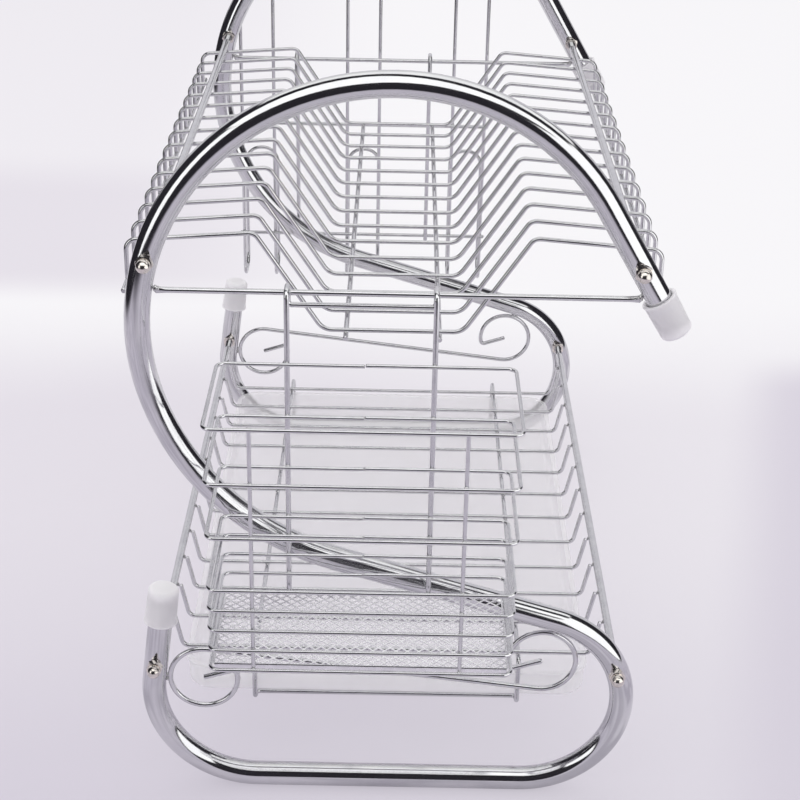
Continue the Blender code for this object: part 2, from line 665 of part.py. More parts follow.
def make_cutlery_floor(finish, hanger):
    """Expanded metal that lies on the lowest ring: a lattice of strands between diamond openings."""
    across, deep = 2 * FLOOR_CELLS_ACROSS, 2 * FLOOR_CELLS_DEEP
    half_x = BASKET_HALF_WIDTH - 2 * RING_WIRE_RADIUS
    half_y = BASKET_FRONT_TO_BACK / 2 - 3 * RING_WIRE_RADIUS - GAP
    middle = cutlery_back() - BASKET_FRONT_TO_BACK / 2
    level = cutlery_levels()[-1] + RING_WIRE_RADIUS + GAP
    bm = bmesh.new()
    nodes = {}
    for i in range(across + 1):
        for j in range(deep + 1):
            if (i + j) % 2 == 0:
                x = BASKET_CENTRE + half_x * (2 * i / across - 1)
                nodes[i, j] = bm.verts.new((x, middle + half_y * (2 * j / deep - 1), level))
    for i in range(across + 1):
        for j in range(deep + 1):
            around = [nodes.get(spot) for spot in ((i - 1, j), (i, j - 1), (i + 1, j), (i, j + 1))]
            corners = [node for node in around if node]
            if (i + j) % 2 and len(corners) > 2:
                bm.faces.new(corners)
    bm.normal_update()
    openings = list(bm.faces)
    bmesh.ops.inset_individual(bm, faces=openings, thickness=FLOOR_STRAND / 2)
    bmesh.ops.delete(bm, geom=openings, context="FACES")
    sheet = bmesh.ops.extrude_face_region(bm, geom=list(bm.faces))
    raised = [item for item in sheet["geom"] if isinstance(item, bmesh.types.BMVert)]
    bmesh.ops.translate(bm, verts=raised, vec=(0, 0, FLOOR_THICKNESS))
    mesh = mesh_from(bm, "floor")
    return add_object("cutlery_basket_floor", mesh, finish, hanger, hanger.location)


def make_board_holder(finish, rack):
    """Tall loops whose feet turn out and up into low arches, tied by two wires and hung by two hooks."""
    leg_y = FRAME_SPACING + ACCESSORY_OFFSET
    tie_y = leg_y + HANGER_RADIUS + HOLDER_WIRE_RADIUS - WELD_DEPTH
    tall_y = tie_y + 2 * HOLDER_WIRE_RADIUS - WELD_DEPTH
    arch_y = tall_y + HOLDER_SLOT
    top, foot = UPPER_ROD_Z + HOLDER_RISE, UPPER_ROD_Z - HOLDER_FALL
    arch_z = UPPER_ROD_Z - HOLDER_ARCH_DROP
    round_top = HOLDER_LOOP_HALF_WIDTH * LOOP_ROUND_SHARE
    radii = [round_top, HOLDER_BOTTOM_RADIUS, HOLDER_BOTTOM_RADIUS, round_top]
    first = HOLDER_CENTRE - HOLDER_SPACING * (HOLDER_LOOP_COUNT - 1) / 2
    last = HOLDER_CENTRE + HOLDER_SPACING * (HOLDER_LOOP_COUNT - 1) / 2
    parts = []
    for i in range(HOLDER_LOOP_COUNT):
        centre = first + i * HOLDER_SPACING
        side = [(tall_y, top), (tall_y, foot), (arch_y, foot), (arch_y, arch_z)]
        corners = [Vector((centre - HOLDER_LOOP_HALF_WIDTH, y, z)) for y, z in side]
        corners += [Vector((centre + HOLDER_LOOP_HALF_WIDTH, y, z)) for y, z in side[::-1]]
        loop = rounded(corners, radii + radii[::-1], closed=True)
        parts.append(sweep(loop, HOLDER_WIRE_RADIUS, WIRE_SIDES, Z, closed=True))
    for sign in (-1, 1):
        x = HOLDER_CENTRE + sign * HOLDER_HOOK_HALF_SPAN
        lowest = UPPER_ROD_Z - HOLDER_TIE_DROPS[-1] - HOLDER_TIE_OVERRUN
        hook = rounded(hook_route(x, FRAME_SPACING, 1, HOLDER_TAIL, lowest), HOOK_BEND_RADIUS)
        parts.append(sweep(hook, HANGER_RADIUS, WIRE_SIDES, X))
    overrun = HOLDER_LOOP_HALF_WIDTH + HOLDER_TIE_OVERRUN
    for drop in HOLDER_TIE_DROPS:
        z = UPPER_ROD_Z - drop
        ends = [Vector((first - overrun, tie_y, z)), Vector((last + overrun, tie_y, z))]
        parts.append(sweep(ends, HOLDER_WIRE_RADIUS, WIRE_SIDES, Y))
    mesh = boolean(parts[-1], parts[:-1], "UNION")
    return add_object("board_holder", mesh, finish, rack, Vector((0, FRAME_SPACING, HOOK_BAR_Z)))


def stand_on_origin(rack):
    """Moves the rack so that the origin is the bottom centre of its bounding box."""
    bpy.context.view_layer.update()
    corners = []
    for obj in rack.children_recursive:
        if obj.type == "MESH":
            corners += [obj.matrix_world @ vertex.co for vertex in obj.data.vertices]
    low = [min(corner[i] for corner in corners) for i in range(3)]
    high = [max(corner[i] for corner in corners) for i in range(3)]
    rack.location = (-(low[0] + high[0]) / 2, -(low[1] + high[1]) / 2, -low[2])


def main():
    for obj in list(bpy.data.objects):
        bpy.data.objects.remove(obj)
    chrome = material("chrome", (0.78, 0.78, 0.80), 1.0, 0.12)
    wire = material("chromed_wire", (0.74, 0.74, 0.76), 1.0, 0.18)
    nickel = material("nickel_nut", (0.74, 0.70, 0.65), 1.0, 0.22)
    clear_plastic = material("translucent_plastic", (0.93, 0.92, 0.94), 0.0, 0.35)

    rack = bpy.data.objects.new("dish_rack", None)
    bpy.context.scene.collection.objects.link(rack)
    line, bend_centre = frame_shape()
    rods = rod_places(line)
    for end, y in (("near", 0.0), ("far", FRAME_SPACING)):
        make_frame(f"s_frame_{end}", line, rods, y, chrome, rack)
        make_cap(f"end_cap_{end}_upper", line[-1], line[-2], y, clear_plastic, rack)
        make_cap(f"end_cap_{end}_lower", line[0], line[1], y, clear_plastic, rack)
        make_hook_bar(f"hook_bar_{end}", line, y, wire, rack)
        make_scroll(f"scroll_{end}", line, bend_centre, y, wire, rack)
    for name, x, z in rods:
        make_rod(name, x, z, wire, rack)
    make_acorn_nuts(rods, nickel, rack)
    make_upper_rack(rods, wire, rack)
    make_lower_basket(rods, wire, rack)
    make_cradle(wire, rack)
    make_tray(clear_plastic, rack)

    hanger = bpy.data.objects.new("cutlery_basket_hanger", None)
    bpy.context.scene.collection.objects.link(hanger)
    hanger.parent = rack
    hanger.location = (0, 0, HOOK_BAR_Z)
    make_cutlery_basket(wire, hanger)
    make_cutlery_floor(wire, hanger)
    make_board_holder(wire, rack)
    stand_on_origin(rack)


if __name__ == "__main__":
    main()
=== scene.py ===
"""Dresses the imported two-tier dish rack with finished pieces and lights it in a pale studio.

Sizes are in metres. Places are in rack coordinates: x = 0 midway between the rods, y = 0 in the near end
frame's plane and z = 0 on the floor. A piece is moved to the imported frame's place when it joins the scene.
"""

import sys
import logging
import math
import random
from collections.abc import Callable, Iterable, Sequence
from dataclasses import dataclass, field
from enum import Enum
from typing import Self

import bmesh
import bpy
from mathutils import Matrix, Vector


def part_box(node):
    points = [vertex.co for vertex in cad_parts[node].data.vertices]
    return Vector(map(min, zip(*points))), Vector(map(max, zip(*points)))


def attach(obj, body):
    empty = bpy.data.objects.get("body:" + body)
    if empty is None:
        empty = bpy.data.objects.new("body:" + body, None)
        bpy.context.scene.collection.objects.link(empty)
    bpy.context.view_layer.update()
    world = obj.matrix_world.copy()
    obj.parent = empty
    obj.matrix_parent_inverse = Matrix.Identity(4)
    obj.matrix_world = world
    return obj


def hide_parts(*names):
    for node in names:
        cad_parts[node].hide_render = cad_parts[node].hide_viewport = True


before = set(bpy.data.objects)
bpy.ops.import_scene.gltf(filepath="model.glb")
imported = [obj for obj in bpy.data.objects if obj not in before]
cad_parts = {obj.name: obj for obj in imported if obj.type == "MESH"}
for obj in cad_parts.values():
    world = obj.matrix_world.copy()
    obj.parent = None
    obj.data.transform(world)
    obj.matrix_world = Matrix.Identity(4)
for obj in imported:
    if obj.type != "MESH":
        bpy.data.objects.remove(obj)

log = logging.getLogger("dish_rack")

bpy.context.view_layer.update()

ORIGIN = Vector((0, 0, 0))
X = Vector((1, 0, 0))
Y = Vector((0, 1, 0))
Z = Vector((0, 0, 1))

GAP = 0.0003
QUARTER = math.pi / 2
BEND_STEP = math.radians(9)
ARCH_STEP = math.radians(3)
BEAD_STEP = math.pi / 6
DOME_STEP = math.pi / 20
SHARP_ANGLE = math.radians(40)
TUBE_SIDES = 40
WIRE_SIDES = 14
ROD_SIDES = 20
BEAD_SIDES = 10
CAP_SIDES = 56
HEX_SIDES = 6
TOOL_SIDES = 40
ROUND_CORNER_STEPS = 10
END_BEVEL_SHARE = 0.3
END_FACE_SHARE = 0.74
NEARLY_ALONG = 0.9
BEAD_SPREAD = (0.85, 1.15)
ROOF_HEIGHT = 0.6
NOISE_SPAN = (0.3, 0.7)
WHITE = (1.0, 1.0, 1.0)

Flat = tuple[float, float]
Triple = tuple[float, float, float]
Socket = bpy.types.NodeSocket


class Body(Enum):
    """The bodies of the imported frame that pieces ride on."""

    RACK = "rack"
    TRAY = "tray"
    BASKET = "basket"
    HOLDER = "holder"


class Slot(Enum):
    """The material slots of the part's record."""

    TUBE = "chrome_tube"
    WIRE = "chrome_wire"
    NUT = "nickel_nut"
    PLASTIC = "translucent_plastic"


class End(Enum):
    """The two ends of the rack."""

    NEAR = "near"
    FAR = "far"

    @property
    def outwards(self) -> Vector:
        """The direction that points away from the rack at this end."""
        return -Y if self is End.NEAR else Y


class Level(Enum):
    """The rack's two levels."""

    UPPER = "upper"
    LOWER = "lower"


class Cut(Enum):
    """What a turned tool does to a blank, as a Boolean operation."""

    TRIM = "INTERSECT"
    JOIN = "UNION"
    DRILL = "DIFFERENCE"


class Side(Enum):
    """The two long sides of the rack, as the sign of x."""

    LEFT = -1
    RIGHT = 1

    @property
    def label(self) -> str:
        """The side's word in names."""
        return self.name.lower()


# Routes and shells


def arc(
    centre: Sequence[float], radius: float, start: float, end: float, step: float = BEND_STEP
) -> list[Flat]:
    """Points along an arc in the plane, both ends included.

    Args:
        centre: The arc's centre.
        radius: The arc's radius.
        start: The angle of the first point.
        end: The angle of the last point.
        step: The angle between points, about.

    Returns:
        The points as pairs.
    """
    count = max(1, round(abs(end - start) / step))
    angles = [start + (end - start) * i / count for i in range(count + 1)]
    return [(centre[0] + radius * math.cos(a), centre[1] + radius * math.sin(a)) for a in angles]


def in_plane(points: Iterable[Flat], y: float = 0.0) -> list[Vector]:
    """Points (x, z) as vectors at one place along the rack."""
    return [Vector((x, y, z)) for x, z in points]


def rounded(corners: Sequence[Vector], radii: float | Sequence[float], closed: bool = False) -> list[Vector]:
    """Turns a route's corners into arcs.

    Args:
        corners: The corners of the route.
        radii: One bend radius for all corners, or one for each.
        closed: Whether the route comes back to its start.

    Returns:
        The route's points.
    """
    count = len(corners)
    sizes = [radii] * count if isinstance(radii, float) else list(radii)
    route = []
    for i, corner in enumerate(corners):
        if sizes[i] == 0 or (not closed and i in (0, count - 1)):
            route.append(corner.copy())
            continue
        back = (corners[i - 1] - corner).normalized()
        ahead = (corners[(i + 1) % count] - corner).normalized()
        half = back.angle(ahead) / 2
        centre = corner + (back + ahead).normalized() * (sizes[i] / math.sin(half))
        spoke = corner + back * (sizes[i] / math.tan(half)) - centre
        steps = max(2, round((math.pi - 2 * half) / BEND_STEP))
        turn = Matrix.Rotation(-(math.pi - 2 * half) / steps, 3, back.cross(ahead))
        for _ in range(steps + 1):
            route.append(centre + spoke)
            spoke = turn @ spoke
    return route


def headings(route: Sequence[Vector], closed: bool) -> list[Vector]:
    """The direction of travel at each point of a route.

    Args:
        route: The route's points.
        closed: Whether it comes back to its start.

    Returns:
        One direction for each point.
    """
    count = len(route)
    runs = [(route[(i + 1) % count] - route[i]).normalized() for i in range(count)]
    turns = [(runs[i - 1] + runs[i]).normalized() for i in range(count)]
    return turns if closed else [runs[0], *turns[1:-1], runs[-2]]


def cross_directions(ways: Sequence[Vector], side: Vector, closed: bool) -> list[Vector]:
    """Directions square to a route that turn as little as they can.

    Args:
        ways: The direction of travel at each point.
        side: The wanted direction at the first point.
        closed: Whether the route comes back to its start.

    Returns:
        One direction for each point.
    """
    if abs(side.dot(ways[0])) > NEARLY_ALONG:
        side = X if abs(X.dot(ways[0])) < NEARLY_ALONG else Z
    across = [(side - ways[0] * side.dot(ways[0])).normalized()]
    for before, after in zip(ways, ways[1:]):
        across.append((before.rotation_difference(after) @ across[-1]).normalized())
    if closed:
        last = ways[-1].rotation_difference(ways[0]) @ across[-1]
        drift = math.atan2(last.cross(across[0]).dot(ways[0]), last.dot(across[0]))
        count = len(ways)
        across = [Matrix.Rotation(drift * i / count, 3, ways[i]) @ across[i] for i in range(count)]
    return across


def ring(centre: Vector, across: Vector, up: Vector, sides: int) -> list[Vector]:
    """Points round an ellipse with the given half axes."""
    angles = [(k + 0.5) * math.tau / sides for k in range(sides)]
    return [centre + across * math.cos(a) + up * math.sin(a) for a in angles]


def round_rectangle(centre: Vector, half_x: float, half_y: float, radius: float) -> list[Vector]:
    """A level rectangle with round corners, as a closed loop of equally many points at any size.

    Args:
        centre: The rectangle's middle.
        half_x: Half its length along x.
        half_y: Half its length along y.
        radius: The radius of its corners.

    Returns:
        The loop's points.
    """
    loop = []
    for k, (sx, sy) in enumerate(((1, 1), (-1, 1), (-1, -1), (1, -1))):
        middle = centre + Vector((sx * (half_x - radius), sy * (half_y - radius), 0))
        for i in range(ROUND_CORNER_STEPS + 1):
            a = QUARTER * (k + i / ROUND_CORNER_STEPS)
            loop.append(middle + Vector((math.cos(a), math.sin(a), 0)) * radius)
    return loop


def facing(direction: Vector, place: Vector) -> Matrix:
    """The matrix that turns Z to a direction and moves the origin to a place."""
    return Matrix.Translation(place) @ direction.to_track_quat("Z", "Y").to_matrix().to_4x4()


def in_scene(name: str, data: bpy.types.ID) -> bpy.types.Object:
    """Adds an object to the scene.

    Args:
        name: The object's name.
        data: Its mesh, light or camera.

    Returns:
        The object.
    """
    made = bpy.data.objects.new(name, data)
    bpy.context.scene.collection.objects.link(made)
    return made


class Shells:
    """Closed shells gathered into one mesh. Each method that adds some returns the gathered shells."""

    def __init__(self) -> None:
        """Starts with nothing."""
        self.points: list[Vector] = []
        self.faces: list[tuple[int, ...]] = []

    def rows(self, rows: Sequence[Sequence[Vector]], closed: bool = False) -> Self:
        """Adds a shell through rows of equally many points.

        Args:
            rows: The rows, each a closed loop of points.
            closed: Whether the last row joins the first. If not, both ends are capped.

        Returns:
            The gathered shells.
        """
        base, size, count = len(self.points), len(rows[0]), len(rows)
        for row in rows:
            self.points.extend(row)
        for i in range(count if closed else count - 1):
            low, high = base + i * size, base + (i + 1) % count * size
            for k in range(size):
                after = (k + 1) % size
                self.faces.append((low + k, low + after, high + after, high + k))
        if not closed:
            self.faces.append(tuple(base + k for k in reversed(range(size))))
            self.faces.append(tuple(base + (count - 1) * size + k for k in range(size)))
        return self

    def bar(
        self,
        route: Sequence[Vector],
        radius: float,
        closed: bool = False,
        side: Vector = Z,
        press: Callable[[float], Flat] | None = None,
    ) -> Self:
        """Adds a round bar along a route, with a small bevel at each cut end.

        Args:
            route: The bar's centre line.
            radius: The bar's radius.
            closed: Whether it comes back to its start.
            side: The direction that the first of its two half axes has at the start.
            press: From the distance to the nearer end, the shares of the radius that the two half axes have.

        Returns:
            The gathered shells.
        """
        ways = headings(route, closed)
        across = cross_directions(ways, side, closed)
        reach = [0.0]
        for before, after in zip(route, route[1:]):
            reach.append(reach[-1] + (after - before).length)
        rows = []
        for i, point in enumerate(route):
            shares = press(min(reach[i], reach[-1] - reach[i])) if press else (1.0, 1.0)
            wide = across[i] * (radius * shares[0])
            tall = ways[i].cross(across[i]) * (radius * shares[1])
            rows.append(ring(point, wide, tall, WIRE_SIDES))
        if not closed:
            for spot, inwards in ((0, ways[0]), (-1, -ways[-1])):
                face = [route[spot] + (point - route[spot]) * END_FACE_SHARE for point in rows[spot]]
                rows[spot] = [point + inwards * (radius * END_BEVEL_SHARE) for point in rows[spot]]
                rows.insert(0 if spot == 0 else len(rows), face)
        return self.rows(rows, closed)

    def turned(self, profile: Sequence[Flat], sides: int, place: Matrix) -> Self:
        """Adds a solid turned about Z.

        Args:
            profile: Points (radius, height) that start and end on the axis.
            sides: The number of facets round it.
            place: Where the solid goes.

        Returns:
            The gathered shells.
        """
        base = len(self.points)
        self.points.append(place @ Vector((0, 0, profile[0][1])))
        for radius, height in profile[1:-1]:
            for k in range(sides):
                a = k * math.tau / sides
                self.points.append(place @ Vector((radius * math.cos(a), radius * math.sin(a), height)))
        self.points.append(place @ Vector((0, 0, profile[-1][1])))
        last, rows = len(self.points) - 1, len(profile) - 2
        for k in range(sides):
            after = (k + 1) % sides
            self.faces.append((base, base + 1 + after, base + 1 + k))
            top = base + 1 + (rows - 1) * sides
            self.faces.append((last, top + k, top + after))
            for i in range(rows - 1):
                low = base + 1 + i * sides
                self.faces.append((low + k, low + after, low + sides + after, low + sides + k))
        return self

    def bead(self, centre: Vector, half: Triple, size: float = 1.0) -> Self:
        """Adds a weld bead, which is an ellipsoid.

        Args:
            centre: The bead's middle.
            half: Its half axes along x, y and z.
            size: What the half axes are multiplied by.

        Returns:
            The gathered shells.
        """
        profile = arc((0, 0), 1.0, -QUARTER, QUARTER, BEAD_STEP)
        shape = Matrix.Diagonal((*(value * size for value in half), 1.0))
        return self.turned(profile, BEAD_SIDES, Matrix.Translation(centre) @ shape)

    def copy_of(self, mesh: bpy.types.Mesh, place: Matrix = Matrix.Identity(4)) -> Self:
        """Adds a mesh's faces.

        Args:
            mesh: The mesh.
            place: Where it goes.

        Returns:
            The gathered shells.
        """
        base = len(self.points)
        self.points.extend(place @ vertex.co for vertex in mesh.vertices)
        self.faces.extend(tuple(base + v for v in face.vertices) for face in mesh.polygons)
        return self

    def mesh(self, name: str, move: Vector = ORIGIN) -> bpy.types.Mesh:
        """Makes the mesh.

        Args:
            name: The mesh's name.
            move: How far it is moved.

        Returns:
            The mesh, shaded smooth, with its faces turned outwards and its edges sharp where they are steep.
        """
        made = bpy.data.meshes.new(name)
        made.from_pydata([tuple(point + move) for point in self.points], [], self.faces)
        bm = bmesh.new()
        bm.from_mesh(made)
        bmesh.ops.recalc_face_normals(bm, faces=bm.faces)
        bm.to_mesh(made)
        bm.free()
        made.shade_smooth()
        made.set_sharp_from_angle(angle=SHARP_ANGLE)
        return made


# Finishes


class Nodes:
    """Short ways to wire up a node tree."""

    def __init__(self, owner: bpy.types.Material | bpy.types.World) -> None:
        """Takes a node tree.

        Args:
            owner: The material or the world that has it.
        """
        self.owner = owner
        owner.use_nodes = True
        self.tree = owner.node_tree

    def feed(self, socket: Socket, value: object) -> None:
        """Links a value to a socket or sets the socket to it.

        Args:
            socket: The input.
            value: A link, a number, a vector or a colour.
        """
        if isinstance(value, Socket):
            self.tree.links.new(value, socket)
        else:
            socket.default_value = (*value, 1.0) if socket.type == "RGBA" else value

    def new(self, kind: str, **inputs: object) -> bpy.types.Node:
        """Adds a node.

        Args:
            kind: The node's type.
            **inputs: Its inputs' values or links, by name or by number after an underscore.

        Returns:
            The node.
        """
        node = self.tree.nodes.new(kind)
        for name, value in inputs.items():
            self.feed(node.inputs[int(name[1:]) if name[0] == "_" else name.replace("_", " ")], value)
        return node

    def maths(self, operation: str, first: object, second: object) -> Socket:
        """The result of a maths operation.

        Args:
            operation: The operation's name.
            first: A link or a number.
            second: A link or a number.

        Returns:
            The result.
        """
        node = self.new("ShaderNodeMath", _0=first, _1=second)
        node.operation = operation
        return node.outputs[0]

    def times(self, first: object, second: object) -> Socket:
        """The product of two values."""
        return self.maths("MULTIPLY", first, second)

    def step(self, value: Socket, start: float, end: float) -> Socket:
        """A smooth step.

        Args:
            value: What it follows.
            start: Where it is 0.
            end: Where it is 1, which may lie below the start.

        Returns:
            The step.
        """
        node = self.new("ShaderNodeMapRange", Value=value, From_Min=min(start, end), From_Max=max(start, end))
        node.interpolation_type = "SMOOTHSTEP"
        rising = node.outputs["Result"]
        return rising if start < end else self.maths("SUBTRACT", 1.0, rising)

    def colour(self, factor: object, first: object, second: object) -> Socket:
        """A colour between two.

        Args:
            factor: From 0 for the first to 1 for the second.
            first: A link or a colour.
            second: A link or a colour.

        Returns:
            The colour.
        """
        node = self.tree.nodes.new("ShaderNodeMix")
        node.data_type = "RGBA"
        for name, value in (("Factor", factor), ("A", first), ("B", second)):
            self.feed(node.inputs[name], value)
        return node.outputs["Result"]


class Graph(Nodes):
    """A material's node tree around one Principled shader."""

    def __init__(self, name: str) -> None:
        """Makes the material.

        Args:
            name: The material's name.
        """
        super().__init__(bpy.data.materials.new(name))
        self.shader = self.tree.nodes["Principled BSDF"]
        self.place = self.new("ShaderNodeTexCoord").outputs["Object"]

    def set(self, **values: object) -> None:
        """Sets or links the shader's own sockets, named with underscores for spaces."""
        for name, value in values.items():
            self.feed(self.shader.inputs[name.replace("_", " ")], value)

    def noise(self, size: float, detail: float) -> Socket:
        """Noise with patches of about the given size, and so many layers of finer detail."""
        return self.new("ShaderNodeTexNoise", Vector=self.place, Scale=1 / size, Detail=detail).outputs["Fac"]

    def spread(self, source: Socket, low: float = 0.0, high: float = 1.0) -> Socket:
        """Noise turned into values in a range.

        Args:
            source: The noise.
            low: The least value.
            high: The greatest value.

        Returns:
            The values.
        """
        node = self.new("ShaderNodeMapRange", Value=source, To_Min=low, To_Max=high)
        for name, value in zip(("From Min", "From Max"), NOISE_SPAN):
            node.inputs[name].default_value = value
        return node.outputs["Result"]

    def bumps(self, heights: Sequence[tuple[Socket, float]]) -> None:
        """Gives the shader's normal some bumps, one on another.

        Args:
            heights: Each bump's source and height.
        """
        below = {}
        for source, height in heights:
            bump = self.new("ShaderNodeBump", Height=source, Distance=height, **below)
            below = {"Normal": bump.outputs["Normal"]}
        self.set(**below)


@dataclass(frozen=True)
class Plating:
    """Bright plated steel: a faint haze in patches, and the ripple that drawing and polishing leave."""

    name: str
    slot: Slot
    bright: Triple
    dull: Triple
    gloss: Flat
    haze_size: float
    ripple_size: float
    ripple_height: float
    grain_height: float = 0.0
    grains_in_ripple: float = 12

    def material(self) -> bpy.types.Material:
        """Makes the material.

        Returns:
            The material.
        """
        graph = Graph(self.name)
        haze = graph.noise(self.haze_size, 3.0)
        colour = graph.colour(graph.spread(haze), self.bright, self.dull)
        graph.set(Metallic=1.0, Roughness=graph.spread(haze, *self.gloss), Base_Color=colour)
        heights = [(graph.noise(self.ripple_size, 1.0), self.ripple_height)]
        if self.grain_height:
            grain = graph.noise(self.ripple_size / self.grains_in_ripple, 2.0)
            heights.append((grain, self.grain_height))
        graph.bumps(heights)
        return graph.owner


@dataclass(frozen=True)
class MilkyPlastic:
    """Moulded translucent plastic: cloudy inside, with a fine satin skin."""

    name: str
    clear: Triple
    cloudy: Triple
    cover: float
    scatter: float
    gloss: Flat
    skin_height: float
    wave_share: float = 4
    cloud_size: float = 0.018
    satin_size: float = 0.006
    skin_size: float = 0.0007
    wave_size: float = 0.022
    scatter_depth: float = 0.006
    refraction: float = 1.49
    slot: Slot = Slot.PLASTIC

    def material(self) -> bpy.types.Material:
        """Makes the material.

        Returns:
            The material.
        """
        graph = Graph(self.name)
        cloud = graph.spread(graph.noise(self.cloud_size, 2.0))
        graph.set(
            IOR=self.refraction,
            Alpha=self.cover,
            Subsurface_Weight=self.scatter,
            Subsurface_Scale=self.scatter_depth,
            Subsurface_Radius=WHITE,
            Base_Color=graph.colour(cloud, self.clear, self.cloudy),
            Roughness=graph.spread(graph.noise(self.satin_size, 3.0), *self.gloss),
        )
        skin, wave = graph.noise(self.skin_size, 2.0), graph.noise(self.wave_size, 1.0)
        graph.bumps([(skin, self.skin_height), (wave, self.wave_share * self.skin_height)])
        return graph.owner


class Finish(Enum):
    """The finishes of the rack's pieces."""

    TUBE = Plating(
        "chromed_tube", Slot.TUBE, (0.74, 0.74, 0.75), (0.68, 0.68, 0.70), (0.085, 0.135),
        0.016, 0.030, 0.00003,
    )
    WIRE = Plating(
        "chromed_wire", Slot.WIRE, (0.76, 0.76, 0.77), (0.67, 0.67, 0.69), (0.12, 0.20),
        0.007, 0.005, 0.00003, 0.000004,
    )
    WELD = Plating(
        "plated_weld", Slot.WIRE, (0.74, 0.74, 0.75), (0.56, 0.55, 0.55), (0.16, 0.30),
        0.0012, 0.0009, 0.00012, 0.00002,
    )
    MESH = Plating(
        "plated_mesh", Slot.WIRE, (0.94, 0.94, 0.95), (0.86, 0.86, 0.87), (0.22, 0.34),
        0.004, 0.002, 0.00002, 0.000008,
    )
    NICKEL = Plating(
        "nickel_nut", Slot.NUT, (0.84, 0.79, 0.74), (0.72, 0.67, 0.62), (0.12, 0.22),
        0.002, 0.0015, 0.00002, 0.000008,
    )
    CAP = MilkyPlastic(
        "milky_cap", (0.96, 0.93, 0.965), (0.92, 0.89, 0.93), 0.88, 0.6, (0.58, 0.68), 0.000006
    )
    TRAY = MilkyPlastic(
        "milky_tray", (0.98, 0.96, 0.985), (0.96, 0.94, 0.97), 0.36, 0.8, (0.40, 0.52), 0.000003
    )


# The scene's workshop


class Workshop:
    """Puts finished pieces into the scene, with one material for each finish."""

    def __init__(self) -> None:
        """Finds the rack coordinates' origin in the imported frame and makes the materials."""
        tray_low, tray_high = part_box("drip_tray")
        tube_low, tube_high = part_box("s_frame_near")
        self.origin = Vector(((tray_low.x + tray_high.x) / 2, (tube_low.y + tube_high.y) / 2, 0.0))
        self.materials = {finish: finish.value.material() for finish in Finish}
        self.count = 0

    def box(self, node: str) -> tuple[Vector, Vector]:
        """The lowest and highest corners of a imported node, in rack coordinates."""
        low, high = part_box(node)
        return low - self.origin, high - self.origin

    def add(self, name: str, shells: Shells, finish: Finish, *nodes: str, body: Body = Body.RACK) -> None:
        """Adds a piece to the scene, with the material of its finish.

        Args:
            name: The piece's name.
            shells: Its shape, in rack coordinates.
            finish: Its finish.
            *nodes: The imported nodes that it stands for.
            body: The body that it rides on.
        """
        piece = in_scene(name, shells.mesh(name, self.origin))
        piece.data.materials.append(self.materials[finish])
        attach(piece, body.value)
        if nodes:
            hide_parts(*nodes)
        self.count += 1
        log.info("%s: %d faces, on %s", name, len(piece.data.polygons), body.value)


@dataclass(frozen=True)
class RackSizes:
    """The sizes that several sub-assemblies share."""

    frame_spacing: float = 0.382
    nominal_tube_radius: float = 0.006
    tube_radius: float = 0.00579
    base_height: float = 0.005796
    upper_rod_half_span: float = 0.107
    upper_rod_z: float = 0.280796
    lower_rod_half_span: float = 0.111
    lower_rod_z: float = 0.072796
    rod_radius: float = 0.002
    hook_bar_z: float = 0.265796
    hook_bar_radius: float = 0.0013
    wire_radius: float = 0.0011
    runner_radius: float = 0.00125

    @property
    def nut_seat(self) -> float:
        """How far a nut's face stands from a frame's plane."""
        return self.base_height + GAP

    @property
    def accessory_offset(self) -> float:
        """How far outside a frame's plane the legs of a hung accessory stand."""
        return self.base_height + GAP + self.runner_radius

    @property
    def hook_bend_radius(self) -> float:
        """The radius of a hook's bends round the hook bar."""
        return self.hook_bar_radius + GAP + self.runner_radius

    @property
    def runner_contact(self) -> float:
        """How far a runner's middle lies from the middle of a cross wire on it."""
        return self.wire_radius + GAP + self.runner_radius

    def wire_places(self, first: float, count: int) -> list[float]:
        """The places of evenly spaced cross wires along the rack, as far from one frame as from the other."""
        spacing = (self.frame_spacing - 2 * first) / (count - 1)
        return [first + i * spacing for i in range(count)]

    def hook_route(self, x: float, bar_y: float, outwards: float, tail: float, foot_z: float) -> list[Vector]:
        """The corners of a hook over a hook bar.

        Args:
            x: Its place across the rack.
            bar_y: The bar's place along the rack.
            outwards: The sign of y on the side where the leg hangs.
            tail: How far below the bar's middle the tail ends.
            foot_z: The height where the leg ends.

        Returns:
            The corners, from the tail's end to the leg's foot.
        """
        inner = bar_y - outwards * self.hook_bend_radius
        outer = bar_y + outwards * self.accessory_offset
        over = self.hook_bar_z + self.hook_bend_radius
        side = ((inner, self.hook_bar_z - tail), (inner, over), (outer, over), (outer, foot_z))
        return [Vector((x, y, z)) for y, z in side]


@dataclass
class SubAssembly:
    """A part of the rack that is built by itself, with the rack's shared sizes."""

    shop: Workshop
    sizes: RackSizes


# End frames


def flat_way(angle: float) -> Vector:
    """A flat direction at an angle from x."""
    return Vector((math.cos(angle), math.sin(angle)))


